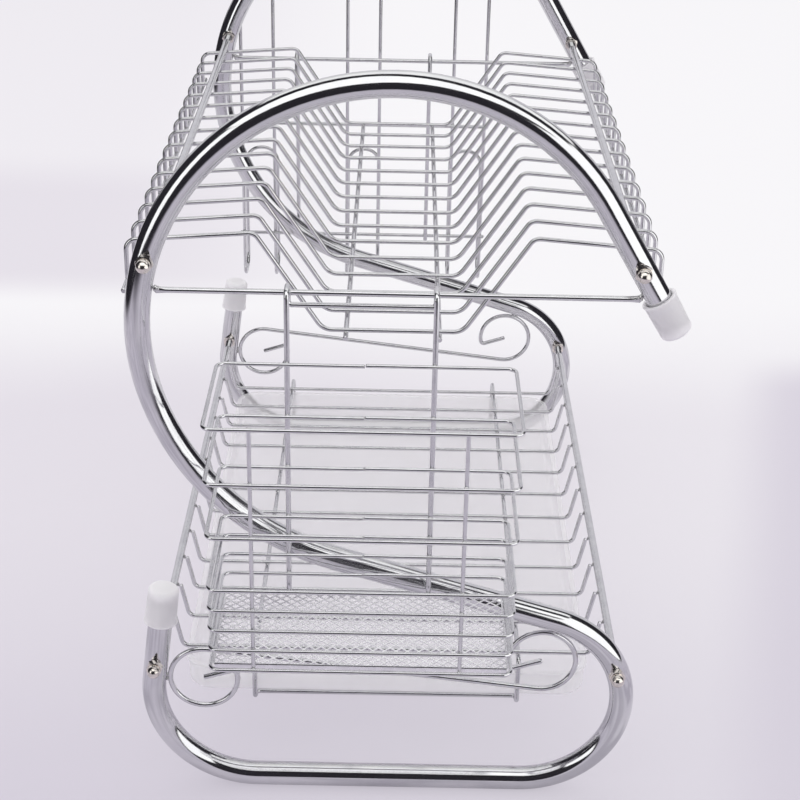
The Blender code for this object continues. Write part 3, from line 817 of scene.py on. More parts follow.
@dataclass
class EndFrame(SubAssembly):
    """An S of bent tube with its two caps, its hook bar and its scroll."""

    end: End
    arch_rise: float = 0.078538
    arch_end_lean: float = math.radians(30.7)
    arch_end_reach: float = 0.031
    right_bend_radius: float = 0.048
    left_bend_radius: float = 0.050
    left_end_lean: float = math.radians(7.3)
    left_end_reach: float = 0.0365
    lower_arc_start: float = math.radians(195)
    lower_arc_share: float = 1.106
    tube_bore: float = 0.0048
    cap_length: float = 0.019
    cap_floor: float = 0.0045
    cap_bore: float = 0.0063
    cap_wall: float = 0.0016
    cap_lip: float = 0.0002
    cap_lip_step: float = 0.4
    cap_taper_share: float = 0.92
    cap_taper_start_share: float = 1.3
    cap_edge_radius: float = 0.0022
    cap_edge_step: float = 0.2
    cap_crown_share: float = 0.6
    paddle_length: float = 0.0055
    paddle_steps: int = 6
    paddle_thin_share: float = 0.62
    paddle_tall_share: float = 1.32
    bar_welds: tuple[Flat, ...] = ((0.0002, 0.0012), (0.0014, 0.0008))
    bar_weld_rise: float = 0.0006
    bar_weld_depth: float = 0.0013
    bar_weld_tall_share: float = 1.4
    scroll_wire_radius: float = 0.0013
    scroll_loop_radius: float = 0.0163
    scroll_left_height: float = 0.057
    scroll_bearing: float = math.radians(70)
    scroll_turn: float = math.radians(198)
    scroll_corner: float = 0.003
    scroll_chord_share: float = 1.6
    scroll_corner_share: float = 0.55
    scroll_weld: Triple = (0.0010, 0.0012, 0.0010)
    scroll_weld_shifts: Flat = (-0.0012, 0.0011)
    y: float = field(init=False)
    bend_centre: Vector = field(init=False)

    def __post_init__(self) -> None:
        """Places the frame's plane and its lower right bend."""
        self.y = 0.0 if self.end is End.NEAR else self.sizes.frame_spacing
        bend_z = self.sizes.base_height + self.right_bend_radius
        rise = self.sizes.lower_rod_z - bend_z
        reach = math.sqrt(self.right_bend_radius**2 - rise**2)
        self.bend_centre = Vector((self.sizes.lower_rod_half_span - reach, bend_z))

    def name(self, kind: str) -> str:
        """A piece's name at this end."""
        return f"{kind}_{self.end.value}"

    def centre_line(self) -> list[Flat]:
        """The tube's centre line.

        Returns:
            Its points, from the lower left end round the base and the diagonal to the arch's end.
        """
        half = self.sizes.upper_rod_half_span
        top = self.sizes.upper_rod_z + self.arch_rise
        sin_lean, cos_lean = math.sin(self.arch_end_lean), math.cos(self.arch_end_lean)
        left_radius = (half**2 + self.arch_rise**2) / (2 * self.arch_rise)
        left_centre = Vector((0, top - left_radius))
        right_radius = (half * cos_lean - self.arch_rise * sin_lean) / (1 - sin_lean)
        lower_radius = left_radius * self.lower_arc_share
        lower_centre = left_centre + flat_way(self.lower_arc_start) * (left_radius - lower_radius)
        between = lower_centre - self.bend_centre
        swing = math.acos((lower_radius + self.right_bend_radius) / between.length)
        slope = QUARTER + swing - math.atan2(between.y, between.x)

        base_z = self.sizes.base_height + self.left_bend_radius
        sin_left, cos_left = math.sin(self.left_end_lean), math.cos(self.left_end_lean)
        low_x, low_z = -self.sizes.lower_rod_half_span, self.sizes.lower_rod_z
        base_x = low_x + (self.left_bend_radius - sin_left * (low_z - base_z)) / cos_left
        line = [(low_x + self.left_end_reach * sin_left, low_z + self.left_end_reach * cos_left)]
        bends = (
            ((base_x, base_z), self.left_bend_radius, 2 * QUARTER - self.left_end_lean, 3 * QUARTER),
            (self.bend_centre, self.right_bend_radius, -QUARTER, QUARTER - slope),
            (lower_centre, lower_radius, 3 * QUARTER - slope, self.lower_arc_start),
            (left_centre, left_radius, self.lower_arc_start, QUARTER),
            ((0, top - right_radius), right_radius, QUARTER, self.arch_end_lean),
        )
        for centre, radius, start, finish in bends:
            points = arc(centre, radius, start, finish, ARCH_STEP)
            line += points[1:] if math.dist(points[0], line[-1]) < GAP else points
        reach = self.arch_end_reach
        return line + [(half + reach * sin_lean, self.sizes.upper_rod_z - reach * cos_lean)]

    def build(self) -> None:
        """Builds and dresses the frame's pieces."""
        line = self.centre_line()
        self.add_tube(line)
        self.add_cap(Level.UPPER, line[-1], line[-2])
        self.add_cap(Level.LOWER, line[0], line[1])
        self.add_hook_bar()
        self.add_scroll()

    def add_tube(self, line: list[Flat]) -> None:
        """Adds the bent tube, open at both ends as a tube is.

        Args:
            line: The tube's centre line.
        """
        route = in_plane(line, self.y)
        skins = []
        for radius in (self.sizes.tube_radius, self.tube_bore):
            ways = zip(route, headings(route, False))
            skins.append([ring(point, Y * radius, way.cross(Y) * radius, TUBE_SIDES) for point, way in ways])
        outer, inner = skins
        shells = Shells().rows([inner[1], inner[0], *outer, inner[-1], inner[-2]])
        self.shop.add(self.name("tube"), shells, Finish.TUBE, self.name("s_frame"))

    def add_cap(self, level: Level, end: Flat, before: Flat) -> None:
        """Adds a plastic cap over one end of the tube.

        Args:
            level: Whether it is the upper or the lower cap.
            end: The centre line's last point.
            before: The centre line's point before it.
        """
        tip, inner = in_plane((end, before), self.y)
        outwards = (tip - inner).normalized()
        length, bore, edge, lip = self.cap_length, self.cap_bore, self.cap_edge_radius, self.cap_lip
        depth = length - self.cap_floor
        outer = bore + self.cap_wall
        rim = outer * self.cap_taper_share - edge
        crown = arc((rim, length - edge), edge, 0, QUARTER, self.cap_edge_step)
        mouth = arc((outer - lip, lip * 2), 2 * lip, QUARTER, -QUARTER, self.cap_lip_step)
        profile = [(0, length), (rim * self.cap_crown_share, length), *crown[::-1]]
        profile += [(outer - GAP, self.cap_wall * self.cap_taper_start_share), *mouth]
        profile += [(bore + GAP, 0), (bore, GAP), (bore, depth), (0, depth)]
        shells = Shells().turned(profile, CAP_SIDES, facing(outwards, tip - outwards * (depth - GAP)))
        node = f"end_cap_{self.end.value}_{level.value}"
        self.shop.add(self.name(f"cap_{level.value}"), shells, Finish.CAP, node)

    def pressed(self, reach: float) -> Flat:
        """How flat a hook bar is pressed near its ends.

        Args:
            reach: The distance to the nearer end.

        Returns:
            The shares of the radius across and up.
        """
        t = max(0.0, 1 - reach / self.paddle_length)
        t = t * t * (3 - 2 * t)
        return 1 + (self.paddle_thin_share - 1) * t, 1 + (self.paddle_tall_share - 1) * t

    def add_hook_bar(self) -> None:
        """Adds the bar across the arch, pressed flat where its ends are welded to the tube."""
        node = self.name("hook_bar")
        low, high = self.shop.box(node)
        steps = [self.paddle_length * i / self.paddle_steps for i in range(self.paddle_steps + 1)]
        spots = [low.x + s for s in steps] + [high.x - s for s in reversed(steps)]
        height = self.sizes.hook_bar_z
        route = [Vector((x, self.y, height)) for x in spots]
        shells = Shells().bar(route, self.sizes.hook_bar_radius, side=Y, press=self.pressed)
        self.shop.add(self.name("accessory_bar"), shells, Finish.WIRE, node)
        welds = Shells()
        for x, inwards in ((low.x, 1), (high.x, -1)):
            for spot, size in self.bar_welds:
                centre = Vector((x + inwards * spot, self.y, height + self.bar_weld_rise))
                welds.bead(centre, (size, self.bar_weld_depth, size * self.bar_weld_tall_share))
        self.shop.add(self.name("accessory_bar_welds"), welds, Finish.WELD)

    def add_scroll(self) -> None:
        """Adds the S-scroll that stiffens the lower bends, with its two welds."""
        node = self.name("scroll")
        low, _ = self.shop.box(node)
        radius, wire = self.scroll_loop_radius, self.scroll_wire_radius
        left = Vector((low.x + radius + wire, self.sizes.base_height + self.scroll_left_height))
        inside = self.right_bend_radius - self.sizes.nominal_tube_radius - (wire + GAP + radius) - GAP
        right = self.bend_centre + flat_way(self.scroll_bearing) * inside
        across = right - left
        start = math.atan2(across.y, across.x) + math.acos(2 * radius / across.length)
        first = arc(left, radius, start, self.scroll_turn - math.pi + math.tau)
        second = arc(right, radius, start - math.pi, self.scroll_turn)
        route = self.eased(in_plane([tuple(left), *first[::-1], *second, tuple(right)], self.y))
        self.shop.add(self.name("scroll_wire"), Shells().bar(route, wire, side=Y), Finish.WIRE, node)
        welds = Shells()
        for centre, angle in ((left, math.pi), (right, self.scroll_bearing)):
            touch = centre + flat_way(angle) * (radius + wire)
            for shift in self.scroll_weld_shifts:
                at = Vector((touch.x - shift * math.sin(angle), self.y, touch.y + shift * math.cos(angle)))
                welds.bead(at, self.scroll_weld)
        self.shop.add(self.name("scroll_welds"), welds, Finish.WELD)

    def eased(self, points: list[Vector]) -> list[Vector]:
        """The scroll's route with its two inner corners rounded.

        Args:
            points: The tail, the first loop, the second loop and its tail.

        Returns:
            The route, in which each tail turns into its loop on a small bend.
        """
        first = self.corner_bend(points[0], points[1], points[2])
        last = self.corner_bend(points[-1], points[-2], points[-3])
        return [points[0], *first, *points[3:-3], *reversed(last), points[-1]]

    def corner_bend(self, tail: Vector, corner: Vector, onwards: Vector) -> list[Vector]:
        """The bend from a tail into a loop.

        Args:
            tail: The tail's end.
            corner: Where the tail meets the loop.
            onwards: The loop's next point.

        Returns:
            The bend's points.
        """
        chord = onwards - corner
        reach = chord.length * self.scroll_chord_share
        radius = min(self.scroll_corner, reach * self.scroll_corner_share)
        return rounded([tail, corner, corner + chord.normalized() * reach], [0.0, radius, 0.0])[1:-1]


# Rods and nuts


@dataclass
class TieRods(SubAssembly):
    """The four threaded rods that join the frames, each with two hexagon nuts and two domed nuts."""

    across_flats: float = 0.007
    hex_height: float = 0.0032
    chamfer_share: float = 0.62
    face_share: float = 0.98
    shoulder_share: float = 0.94
    neck_share: float = 0.97
    acorn_height: float = 0.008
    dome_radius: float = 0.0032
    bore_depth: float = 0.0055
    pitch: float = 0.0007
    thread_depth: float = 0.00028
    thread_length: float = 0.011
    thread_steps: int = 8
    hidden_share: float = 0.5
    fading_turns: int = 2

    def build(self) -> None:
        """Builds and dresses the rods and nuts."""
        hexagon = self.hexagon_nut()
        acorn = self.acorn_nut()
        for level in Level:
            for side in Side:
                place = f"{level.value}_{side.label}"
                node = f"{level.value}_rod_{side.label}"
                low, high = self.shop.box(node)
                x, z = (low.x + high.x) / 2, (low.z + high.z) / 2
                self.add_rod(f"tie_rod_{place}", x, z, node)
                self.add_clamp_nuts(f"clamp_nuts_{place}", hexagon, x, z)
                for end in End:
                    self.add_acorn(acorn, place, end, x, z)

    def add_rod(self, name: str, x: float, z: float, node: str) -> None:
        """Adds a rod, threaded for a short way inside each frame.

        Args:
            name: The piece's name.
            x: The rod's place across the rack.
            z: Its height.
            node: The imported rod.
        """
        seat, spacing = self.sizes.nut_seat, self.sizes.frame_spacing
        start = seat + self.hex_height * self.hidden_share
        stop = seat + self.hex_height + self.thread_length
        spots = [-(seat + self.bore_depth - GAP), start]
        count = round((stop - start) / self.pitch * self.thread_steps)
        spots += [start + (stop - start) * i / count for i in range(1, count + 1)]
        spots += [spacing - spot for spot in reversed(spots)]
        rows = []
        for spot in spots:
            inside = min(spot, spacing - spot)
            depth = self.thread_depth * min(1.0, max(0.0, (stop - inside) / (self.fading_turns * self.pitch)))
            row = []
            for k in range(ROD_SIDES):
                turn = k / ROD_SIDES
                phase = (spot / self.pitch - turn) % 1.0
                radius = self.sizes.rod_radius - depth * abs(2 * phase - 1) * (inside > start - GAP)
                a = turn * math.tau
                row.append(Vector((x + radius * math.cos(a), spot, z + radius * math.sin(a))))
            rows.append(row)
        self.shop.add(name, Shells().rows(rows), Finish.WIRE, node)

    @property
    def corner(self) -> float:
        """The distance from a hexagon's middle to its corners."""
        return self.across_flats / 2 / math.cos(math.pi / HEX_SIDES)

    def chamfers(self, far_share: float) -> list[Flat]:
        """The profile of the cone that takes a hexagon's corners off at both faces.

        Args:
            far_share: The flat part of the far face, as a share of the hexagon's inner radius.

        Returns:
            The profile.
        """
        flats, wide, height = self.across_flats / 2, self.corner + GAP, self.hex_height
        fall = (self.corner - flats) * self.chamfer_share
        near = [(0, 0), (flats * self.face_share, 0), (wide, fall)]
        return near + [(wide, height - fall), (flats * far_share, height), (0, height)]

    def hexagon_nut(self) -> bpy.types.Mesh:
        """Makes a hexagon nut along Z from zero.

        Returns:
            The nut, chamfered on both faces, with a countersunk bore.
        """
        height, bore = self.hex_height, self.sizes.rod_radius
        drill = [(0, -GAP), (bore + 2 * GAP, -GAP), (bore, GAP)]
        drill += [(bore, height - GAP), (bore + 2 * GAP, height + GAP), (0, height + GAP)]
        return self.cut([(self.chamfers(self.face_share), Cut.TRIM), (drill, Cut.DRILL)])

    def acorn_nut(self) -> bpy.types.Mesh:
        """Makes a domed nut along Z from its flat face at zero.

        Returns:
            The nut: a chamfered hexagon, a neck and a dome, with a blind bore.
        """
        start = self.acorn_height - self.dome_radius
        neck = self.dome_radius * self.neck_share
        dome = [(0, self.hex_height / 2), (neck, self.hex_height / 2)]
        dome += [(neck, self.hex_height + GAP / 2), (self.dome_radius, start)]
        dome += arc((0, start), self.dome_radius, 0, QUARTER, DOME_STEP)[1:]
        bore = self.sizes.rod_radius + GAP
        drill = [(0, -GAP), (bore, -GAP), (bore, self.bore_depth), (0, self.bore_depth)]
        cone = self.chamfers(self.shoulder_share)
        return self.cut([(cone, Cut.TRIM), (dome, Cut.JOIN), (drill, Cut.DRILL)])

    def cut(self, tools: Sequence[tuple[Sequence[Flat], Cut]]) -> bpy.types.Mesh:
        """Shapes a plain hexagon with turned tools.

        Args:
            tools: Each tool's profile and what it does.

        Returns:
            The shaped mesh.
        """
        wide, tall = X * self.corner, Y * self.corner
        blank = Shells().rows([ring(Z * level, wide, tall, HEX_SIDES) for level in (0, self.hex_height)])
        body = in_scene("nut_blank", blank.mesh("nut_blank"))
        helpers = [body]
        for profile, task in tools:
            tool = Shells().turned(profile, TOOL_SIDES, Matrix.Identity(4))
            helpers.append(in_scene("nut_tool", tool.mesh("nut_tool")))
            modifier = body.modifiers.new("cut", "BOOLEAN")
            modifier.operation = task.value
            modifier.solver = "EXACT"
            modifier.object = helpers[-1]
        graph = bpy.context.evaluated_depsgraph_get()
        shaped = bpy.data.meshes.new_from_object(body.evaluated_get(graph))
        for helper in helpers:
            bpy.data.objects.remove(helper)
        return shaped

    def add_clamp_nuts(self, name: str, nut: bpy.types.Mesh, x: float, z: float) -> None:
        """Adds the two nuts that clamp the frames from inside, each turned its own way.

        Args:
            name: The piece's name.
            nut: The hexagon nut.
            x: The rod's place across the rack.
            z: Its height.
        """
        seat = self.sizes.nut_seat
        shells = Shells()
        turns = random.Random(name)
        for y, inwards in ((seat, Y), (self.sizes.frame_spacing - seat, -Y)):
            turn = Matrix.Rotation(turns.uniform(0, math.tau), 4, "Z")
            shells.copy_of(nut, facing(inwards, Vector((x, y, z))) @ turn)
        self.shop.add(name, shells, Finish.NICKEL)

    def add_acorn(self, nut: bpy.types.Mesh, place: str, end: End, x: float, z: float) -> None:
        """Adds a domed nut outside a frame, turned its own way.

        Args:
            nut: The domed nut.
            place: The rod's words in names.
            end: The frame.
            x: The rod's place across the rack.
            z: Its height.
        """
        seat = self.sizes.nut_seat
        y = -seat if end is End.NEAR else self.sizes.frame_spacing + seat
        name = f"domed_nut_{end.value}_{place}"
        turn = Matrix.Rotation(random.Random(name).uniform(0, math.tau), 4, "Z")
        shells = Shells().copy_of(nut, facing(end.outwards, Vector((x, y, z))) @ turn)
        self.shop.add(name, shells, Finish.NICKEL, f"acorn_nut_{end.value}_{place}")


# Wire racks


@dataclass
class PlateRack(SubAssembly):
    """The upper rack: cross wires with a trough between two wings, on two runners, with edge wires."""

    wire_count: int = 15
    first_wire: float = 0.032
    half_width: float = 0.1205
    drop: float = 0.018
    wing_fall: float = 0.0045
    trough_top_half: float = 0.0628
    trough_bottom_half: float = 0.032
    trough_depth: float = 0.0465
    wing_corner: float = 0.005
    trough_corner: float = 0.008
    runner_half_span: float = 0.0215
    runner_overhang: float = 0.004
    edge_overhang: float = 0.013
    long_wire_steps: int = 16
    sway: float = 0.00022
    point_sway_share: float = 0.15
    rod_weld: Triple = (0.0012, 0.0009, 0.0005)
    runner_weld: Triple = (0.0010, 0.0009, 0.0005)
    edge_weld: Triple = (0.0011, 0.0012, 0.0006)
    weld_drift: float = 0.0002

    def corners(self) -> list[Flat]:
        """The right half's corners.

        Returns:
            Points (x, z) from the trough's bottom out to the end of the side drop.
        """
        wing_z = self.sizes.upper_rod_z - self.sizes.rod_radius - GAP - self.sizes.wire_radius
        fall = self.wing_fall / (self.half_width - self.trough_top_half)
        rod_x = self.sizes.upper_rod_half_span
        inner_z = wing_z + (rod_x - self.trough_top_half) * fall
        outer_z = wing_z - (self.half_width - rod_x) * fall
        bottom = (self.trough_bottom_half, inner_z - self.trough_depth)
        wing = [(self.trough_top_half, inner_z), (self.half_width, outer_z)]
        return [bottom, *wing, (self.half_width, outer_z - self.drop)]

    def build(self) -> None:
        """Builds and dresses the rack's wires and welds."""
        corners = self.corners()
        outline = [(-x, z) for x, z in reversed(corners)] + corners
        radii = [0.0, self.wing_corner, self.wing_corner, self.trough_corner]
        radii += radii[::-1]
        sway = random.Random("plate rack")
        spots = self.sizes.wire_places(self.first_wire, self.wire_count)
        places = [y + sway.uniform(-self.sway, self.sway) for y in spots]
        for i, y in enumerate(places, 1):
            route = rounded(in_plane(outline, y), radii)
            for point in route:
                point.y += sway.uniform(-self.sway, self.sway) * self.point_sway_share
            shells = Shells().bar(route, self.sizes.wire_radius)
            self.shop.add(f"plate_wire_{i:02}", shells, Finish.WIRE, f"upper_wire_{i:02}")
        self.add_long_wires(corners)
        self.add_welds(corners, places)

    def add_long_wires(self, corners: Sequence[Flat]) -> None:
        """Adds the runners under the trough and the wires under the side drops.

        Args:
            corners: The right half's corners.
        """
        runner_z = corners[0][1] - self.sizes.runner_contact
        edge_z = corners[-1][1] - GAP - self.sizes.runner_radius
        kinds = (
            ("runner", self.runner_half_span, runner_z, self.runner_overhang),
            ("edge", self.half_width, edge_z, self.edge_overhang),
        )
        count = self.long_wire_steps
        for side in Side:
            for kind, x, z, overhang in kinds:
                start = self.first_wire - overhang
                length = self.sizes.frame_spacing - 2 * start
                route = [Vector((side.value * x, start + length * i / count, z)) for i in range(count + 1)]
                shells = Shells().bar(route, self.sizes.runner_radius)
                name = f"plate_rack_{kind}_{side.label}"
                self.shop.add(name, shells, Finish.WIRE, f"upper_{kind}_{side.label}")

    def add_welds(self, corners: Sequence[Flat], places: Sequence[float]) -> None:
        """Adds the weld beads where the cross wires meet the rods, the runners and the edge wires.

        Args:
            corners: The right half's corners.
            places: The cross wires' places along the rack.
        """
        welds = Shells()
        chance = random.Random("plate rack welds")
        rod_z = self.sizes.upper_rod_z - self.sizes.rod_radius - GAP / 2
        runner_z = corners[0][1] - self.sizes.wire_radius - GAP / 2
        spots = (
            (self.sizes.upper_rod_half_span, rod_z, self.rod_weld),
            (self.runner_half_span, runner_z, self.runner_weld),
            (self.half_width, corners[-1][1] - GAP / 2, self.edge_weld),
        )
        for y in places:
            for side in Side:
                for x, z, half in spots:
                    size = chance.uniform(*BEAD_SPREAD)
                    drift = chance.uniform(-self.weld_drift, self.weld_drift)
                    welds.bead(Vector((side.value * x, y + drift, z)), half, size)
        self.shop.add("plate_rack_welds", welds, Finish.WELD)


@dataclass
class LowerBasket(SubAssembly):
    """The lower basket's cross wires, bent up to the rods, and the wire cradle for the tray."""

    wire_count: int = 12
    first_wire: float = 0.040
    depth: float = 0.019
    inset: float = 0.004
    corner: float = 0.004
    cradle_half_span: float = 0.067
    cradle_near: float = 0.0355
    cradle_far_margin: float = 0.020
    cradle_drop: float = 0.025
    cradle_lip: float = 0.0055
    cradle_corner: float = 0.0025
    sway: float = 0.0002
    rod_weld: Triple = (0.0006, 0.0010, 0.0012)
    runner_weld: Triple = (0.0010, 0.0010, 0.0005)

    def build(self) -> None:
        """Builds and dresses the basket's wires, welds and cradle."""
        wire, rod_z = self.sizes.wire_radius, self.sizes.lower_rod_z
        low, high = self.shop.box("lower_wire_01")
        top_x = (high.x - low.x) / 2 - wire
        bottom_z = rod_z - self.depth
        half = [(top_x - self.inset, bottom_z), (top_x, rod_z)]
        outline = [(-x, z) for x, z in reversed(half)] + half
        chance = random.Random("lower basket")
        welds = Shells()
        for i, spot in enumerate(self.sizes.wire_places(self.first_wire, self.wire_count), 1):
            y = spot + chance.uniform(-self.sway, self.sway)
            shells = Shells().bar(rounded(in_plane(outline, y), self.corner), wire)
            self.shop.add(f"basket_wire_{i:02}", shells, Finish.WIRE, f"lower_wire_{i:02}")
            for side in Side:
                size = chance.uniform(*BEAD_SPREAD)
                rod = Vector((side.value * (top_x + wire + GAP / 2), y, rod_z))
                runner = Vector((side.value * self.cradle_half_span, y, bottom_z - wire - GAP / 2))
                welds.bead(rod, self.rod_weld, size)
                welds.bead(runner, self.runner_weld, size)
        self.shop.add("lower_basket_welds", welds, Finish.WELD)
        self.add_cradle(bottom_z - self.sizes.runner_contact)

    def add_cradle(self, high: float) -> None:
        """Adds the closed wire that hangs under the basket and carries the tray.

        Args:
            high: The height of its runners.
        """
        low, lip = high - self.cradle_drop, self.cradle_lip
        near, far = self.cradle_near, self.sizes.frame_spacing - self.cradle_far_margin
        bends = ((near + lip, low), (near, low), (near, high), (far, high), (far, low), (far - lip, low))
        half = [Vector((self.cradle_half_span, y, z)) for y, z in bends]
        corners = half + [Vector((-v.x, v.y, v.z)) for v in reversed(half)]
        route = rounded(corners, self.cradle_corner, closed=True)
        shells = Shells().bar(route, self.sizes.runner_radius, closed=True)
        self.shop.add("cradle_wire", shells, Finish.WIRE, "tray_cradle")


# Drip tray


@dataclass
class DripTray(SubAssembly):
    """The shallow milky tray that slides out on the cradle's bars."""

    flare: float = 0.0015
    wall: float = 0.0018
    corner: float = 0.014
    bottom_radius: float = 0.0025
    bottom_step: float = 0.3
    rim_width: float = 0.003
    rim_thickness: float = 0.0016
    rim_step: float = 0.4

    def build(self) -> None:
        """Builds and dresses the tray."""
        low, high = self.shop.box("drip_tray")
        centre = (low + high) / 2
        half_x, half_y = (high.x - low.x) / 2, (high.y - low.y) / 2
        loops = []
        for inset, z in self.section(low.z, high.z):
            middle = Vector((centre.x, centre.y, z))
            loops.append(round_rectangle(middle, half_x - inset, half_y - inset, self.corner - inset))
        self.shop.add("milky_tray", Shells().rows(loops), Finish.TRAY, "drip_tray", body=Body.TRAY)

    def section(self, bottom: float, top: float) -> list[Flat]:
        """The wall's section.

        Args:
            bottom: The height of the tray's underside.
            top: The height of its rim.

        Returns:
            Points (inset from the rim's edge, height) from the underside round to the inner floor.
        """
        bend, edge = self.bottom_radius, self.rim_thickness / 2
        outer = arc((self.flare + bend, bottom + bend), bend, -QUARTER, -math.pi, self.bottom_step)
        under = top - self.rim_thickness
        rim = arc((edge, top - edge), edge, -QUARTER, -3 * QUARTER, self.rim_step)
        inside = self.flare + self.wall
        inner = arc((inside + bend, bottom + self.wall + bend), bend, -math.pi, -QUARTER, self.bottom_step)
        return [*outer, (self.rim_width - self.wall, under), *rim, (self.rim_width, top), *inner]


# Hung accessories


@dataclass
class CutleryBasket(SubAssembly):
    """The cutlery basket: eight rings, two uprights and a hanger wire, with an expanded-metal floor."""

    ring_radius: float = 0.0009
    sunk: float = 0.0004
    centre_x: float = -0.011
    half_width: float = 0.0655
    front_to_back: float = 0.0637
    top_drop: float = 0.0455
    open_count: int = 4
    open_spacing: float = 0.0256
    close_count: int = 4
    close_spacing: float = 0.0101
    corner: float = 0.004
    hanger_half_span: float = 0.0325
    hanger_centre: float = -0.0135
    hanger_tail: float = 0.007
    hanger_foot_share: float = 1.4
    uprights: Flat = (-0.0575, 0.032)
    joint_x: float = -0.0115
    joint_offset: float = 0.00016
    weld: Triple = (0.0012, 0.0006, 0.0010)
    weld_spread: Flat = (0.85, 1.2)
    front_weld_share: float = 0.9
    back_weld_share: float = 0.7
    cells_across: int = 25
    cells_deep: int = 12
    strand: float = 0.0006
    sheet: float = 0.0004
    tilt: float = -0.00012
    tilt_share: float = 0.6
    hem_drop: float = 0.0021
    hem_steps: int = 8

    def levels(self) -> list[float]:
        """The rings' heights.

        Returns:
            The heights from the top ring down.
        """
        first = self.sizes.upper_rod_z - self.top_drop
        heights = [first - i * self.open_spacing for i in range(self.open_count)]
        return heights + [heights[-1] - (i + 1) * self.close_spacing for i in range(self.close_count)]

    @property
    def back(self) -> float:
        """The place of the rings' back bars along the rack."""
        return -(self.sizes.accessory_offset + self.sizes.runner_radius + self.ring_radius - self.sunk)

    @property
    def legs(self) -> list[float]:
        """The places of the hanger's legs across the rack."""
        return [self.hanger_centre + side.value * self.hanger_half_span for side in Side]

    def build(self) -> None:
        """Builds and dresses the basket and its floor."""
        radius, back = self.ring_radius, self.back
        levels = self.levels()
        front = back - self.front_to_back
        top, foot = levels[0] + radius / 2, levels[-1] - radius / 2
        shells = Shells().bar(self.hanger_route(foot), self.sizes.runner_radius, side=X)
        for z in levels:
            shells.bar(self.ring_route(z, front), radius)
        inside = front + 2 * radius - self.sunk
        for x in self.uprights:
            shells.bar([Vector((x, inside, z)) for z in (top, foot)], radius)
        spots = [(x, front + radius * self.front_weld_share) for x in self.uprights]
        spots += [(x, back + radius * self.back_weld_share) for x in self.legs]
        chance = random.Random("cutlery basket")
        welds = Shells()
        for z in levels:
            for x, y in spots:
                welds.bead(Vector((x, y, z)), self.weld, chance.uniform(*self.weld_spread))
        self.shop.add("cutlery_cage", shells, Finish.WIRE, "cutlery_basket", body=Body.BASKET)
        self.shop.add("cutlery_cage_welds", welds, Finish.WELD, body=Body.BASKET)
        self.add_floor((back + front) / 2, levels[-1] + radius + GAP)

    def hanger_route(self, foot: float) -> list[Vector]:
        """The route of the one wire that forms both legs, both hooks and the tie behind the bar.

        Args:
            foot: The height where the legs end.

        Returns:
            The route.
        """
        left, right = (self.sizes.hook_route(x, 0.0, -1, self.hanger_tail, foot) for x in self.legs)
        bend = self.sizes.hook_bend_radius
        radii = [0.0, bend, bend, self.sizes.runner_radius * self.hanger_foot_share]
        return rounded(left[::-1] + right, radii + radii[::-1])

    def ring_route(self, z: float, front: float) -> list[Vector]:
        """A ring's route, whose two ends meet in a butt joint on the back bar.

        Args:
            z: The ring's height.
            front: The place of its front bar along the rack.

        Returns:
            The route.
        """
        left, right = self.centre_x - self.half_width, self.centre_x + self.half_width
        offset = self.joint_offset
        start = Vector((self.joint_x + offset, self.back, z + offset))
        end = Vector((self.joint_x - offset, self.back, z - offset))
        corners = ((right, self.back), (right, front), (left, front), (left, self.back))
        return rounded([start, *(Vector((x, y, z)) for x, y in corners), end], self.corner)

    def add_floor(self, middle: float, level: float) -> None:
        """Adds the expanded-metal floor: tilted strands between diamond openings.

        Args:
            middle: The floor's middle along the rack.
            level: The height of its underside.
        """
        across, deep = 2 * self.cells_across, 2 * self.cells_deep
        half_x = self.half_width - 2 * self.ring_radius
        half_y = self.front_to_back / 2 - 3 * self.ring_radius - GAP
        spots = [(i, j) for i in range(across + 1) for j in range(deep + 1)]
        bm = bmesh.new()
        nodes = {}
        for i, j in spots:
            if (i + j) % 2 == 0:
                x = self.centre_x + half_x * (2 * i / across - 1)
                nodes[i, j] = bm.verts.new((x, middle + half_y * (2 * j / deep - 1), level + self.tilt))
        for i, j in spots:
            around = [nodes.get(spot) for spot in ((i - 1, j), (i, j - 1), (i + 1, j), (i, j + 1))]
            corners = [node for node in around if node]
            if (i + j) % 2 and len(corners) > 2:
                bm.faces.new(corners)
        bm.normal_update()
        openings = list(bm.faces)
        middles = {face: face.calc_center_median() for face in openings}
        bmesh.ops.inset_individual(bm, faces=openings, thickness=self.strand / 2)
        reach = self.tilt_share * (half_y / self.cells_deep)
        for face, centre in middles.items():
            for vertex in face.verts:
                vertex.co.z += self.tilt * max(-1.0, min(1.0, (vertex.co.y - centre.y) / reach))
        bmesh.ops.delete(bm, geom=openings, context="FACES")
        sheet = bmesh.ops.extrude_face_region(bm, geom=list(bm.faces))
        raised = [item for item in sheet["geom"] if isinstance(item, bmesh.types.BMVert)]
        bmesh.ops.translate(bm, verts=raised, vec=(0, 0, self.sheet))
        mesh = bpy.data.meshes.new("floor_sheet")
        bm.to_mesh(mesh)
        bm.free()
        shells = Shells().copy_of(mesh)
        self.add_hem(shells, Vector((self.centre_x, middle, level)), half_x, half_y)
        self.shop.add("cutlery_mesh_floor", shells, Finish.MESH, "cutlery_basket_floor", body=Body.BASKET)

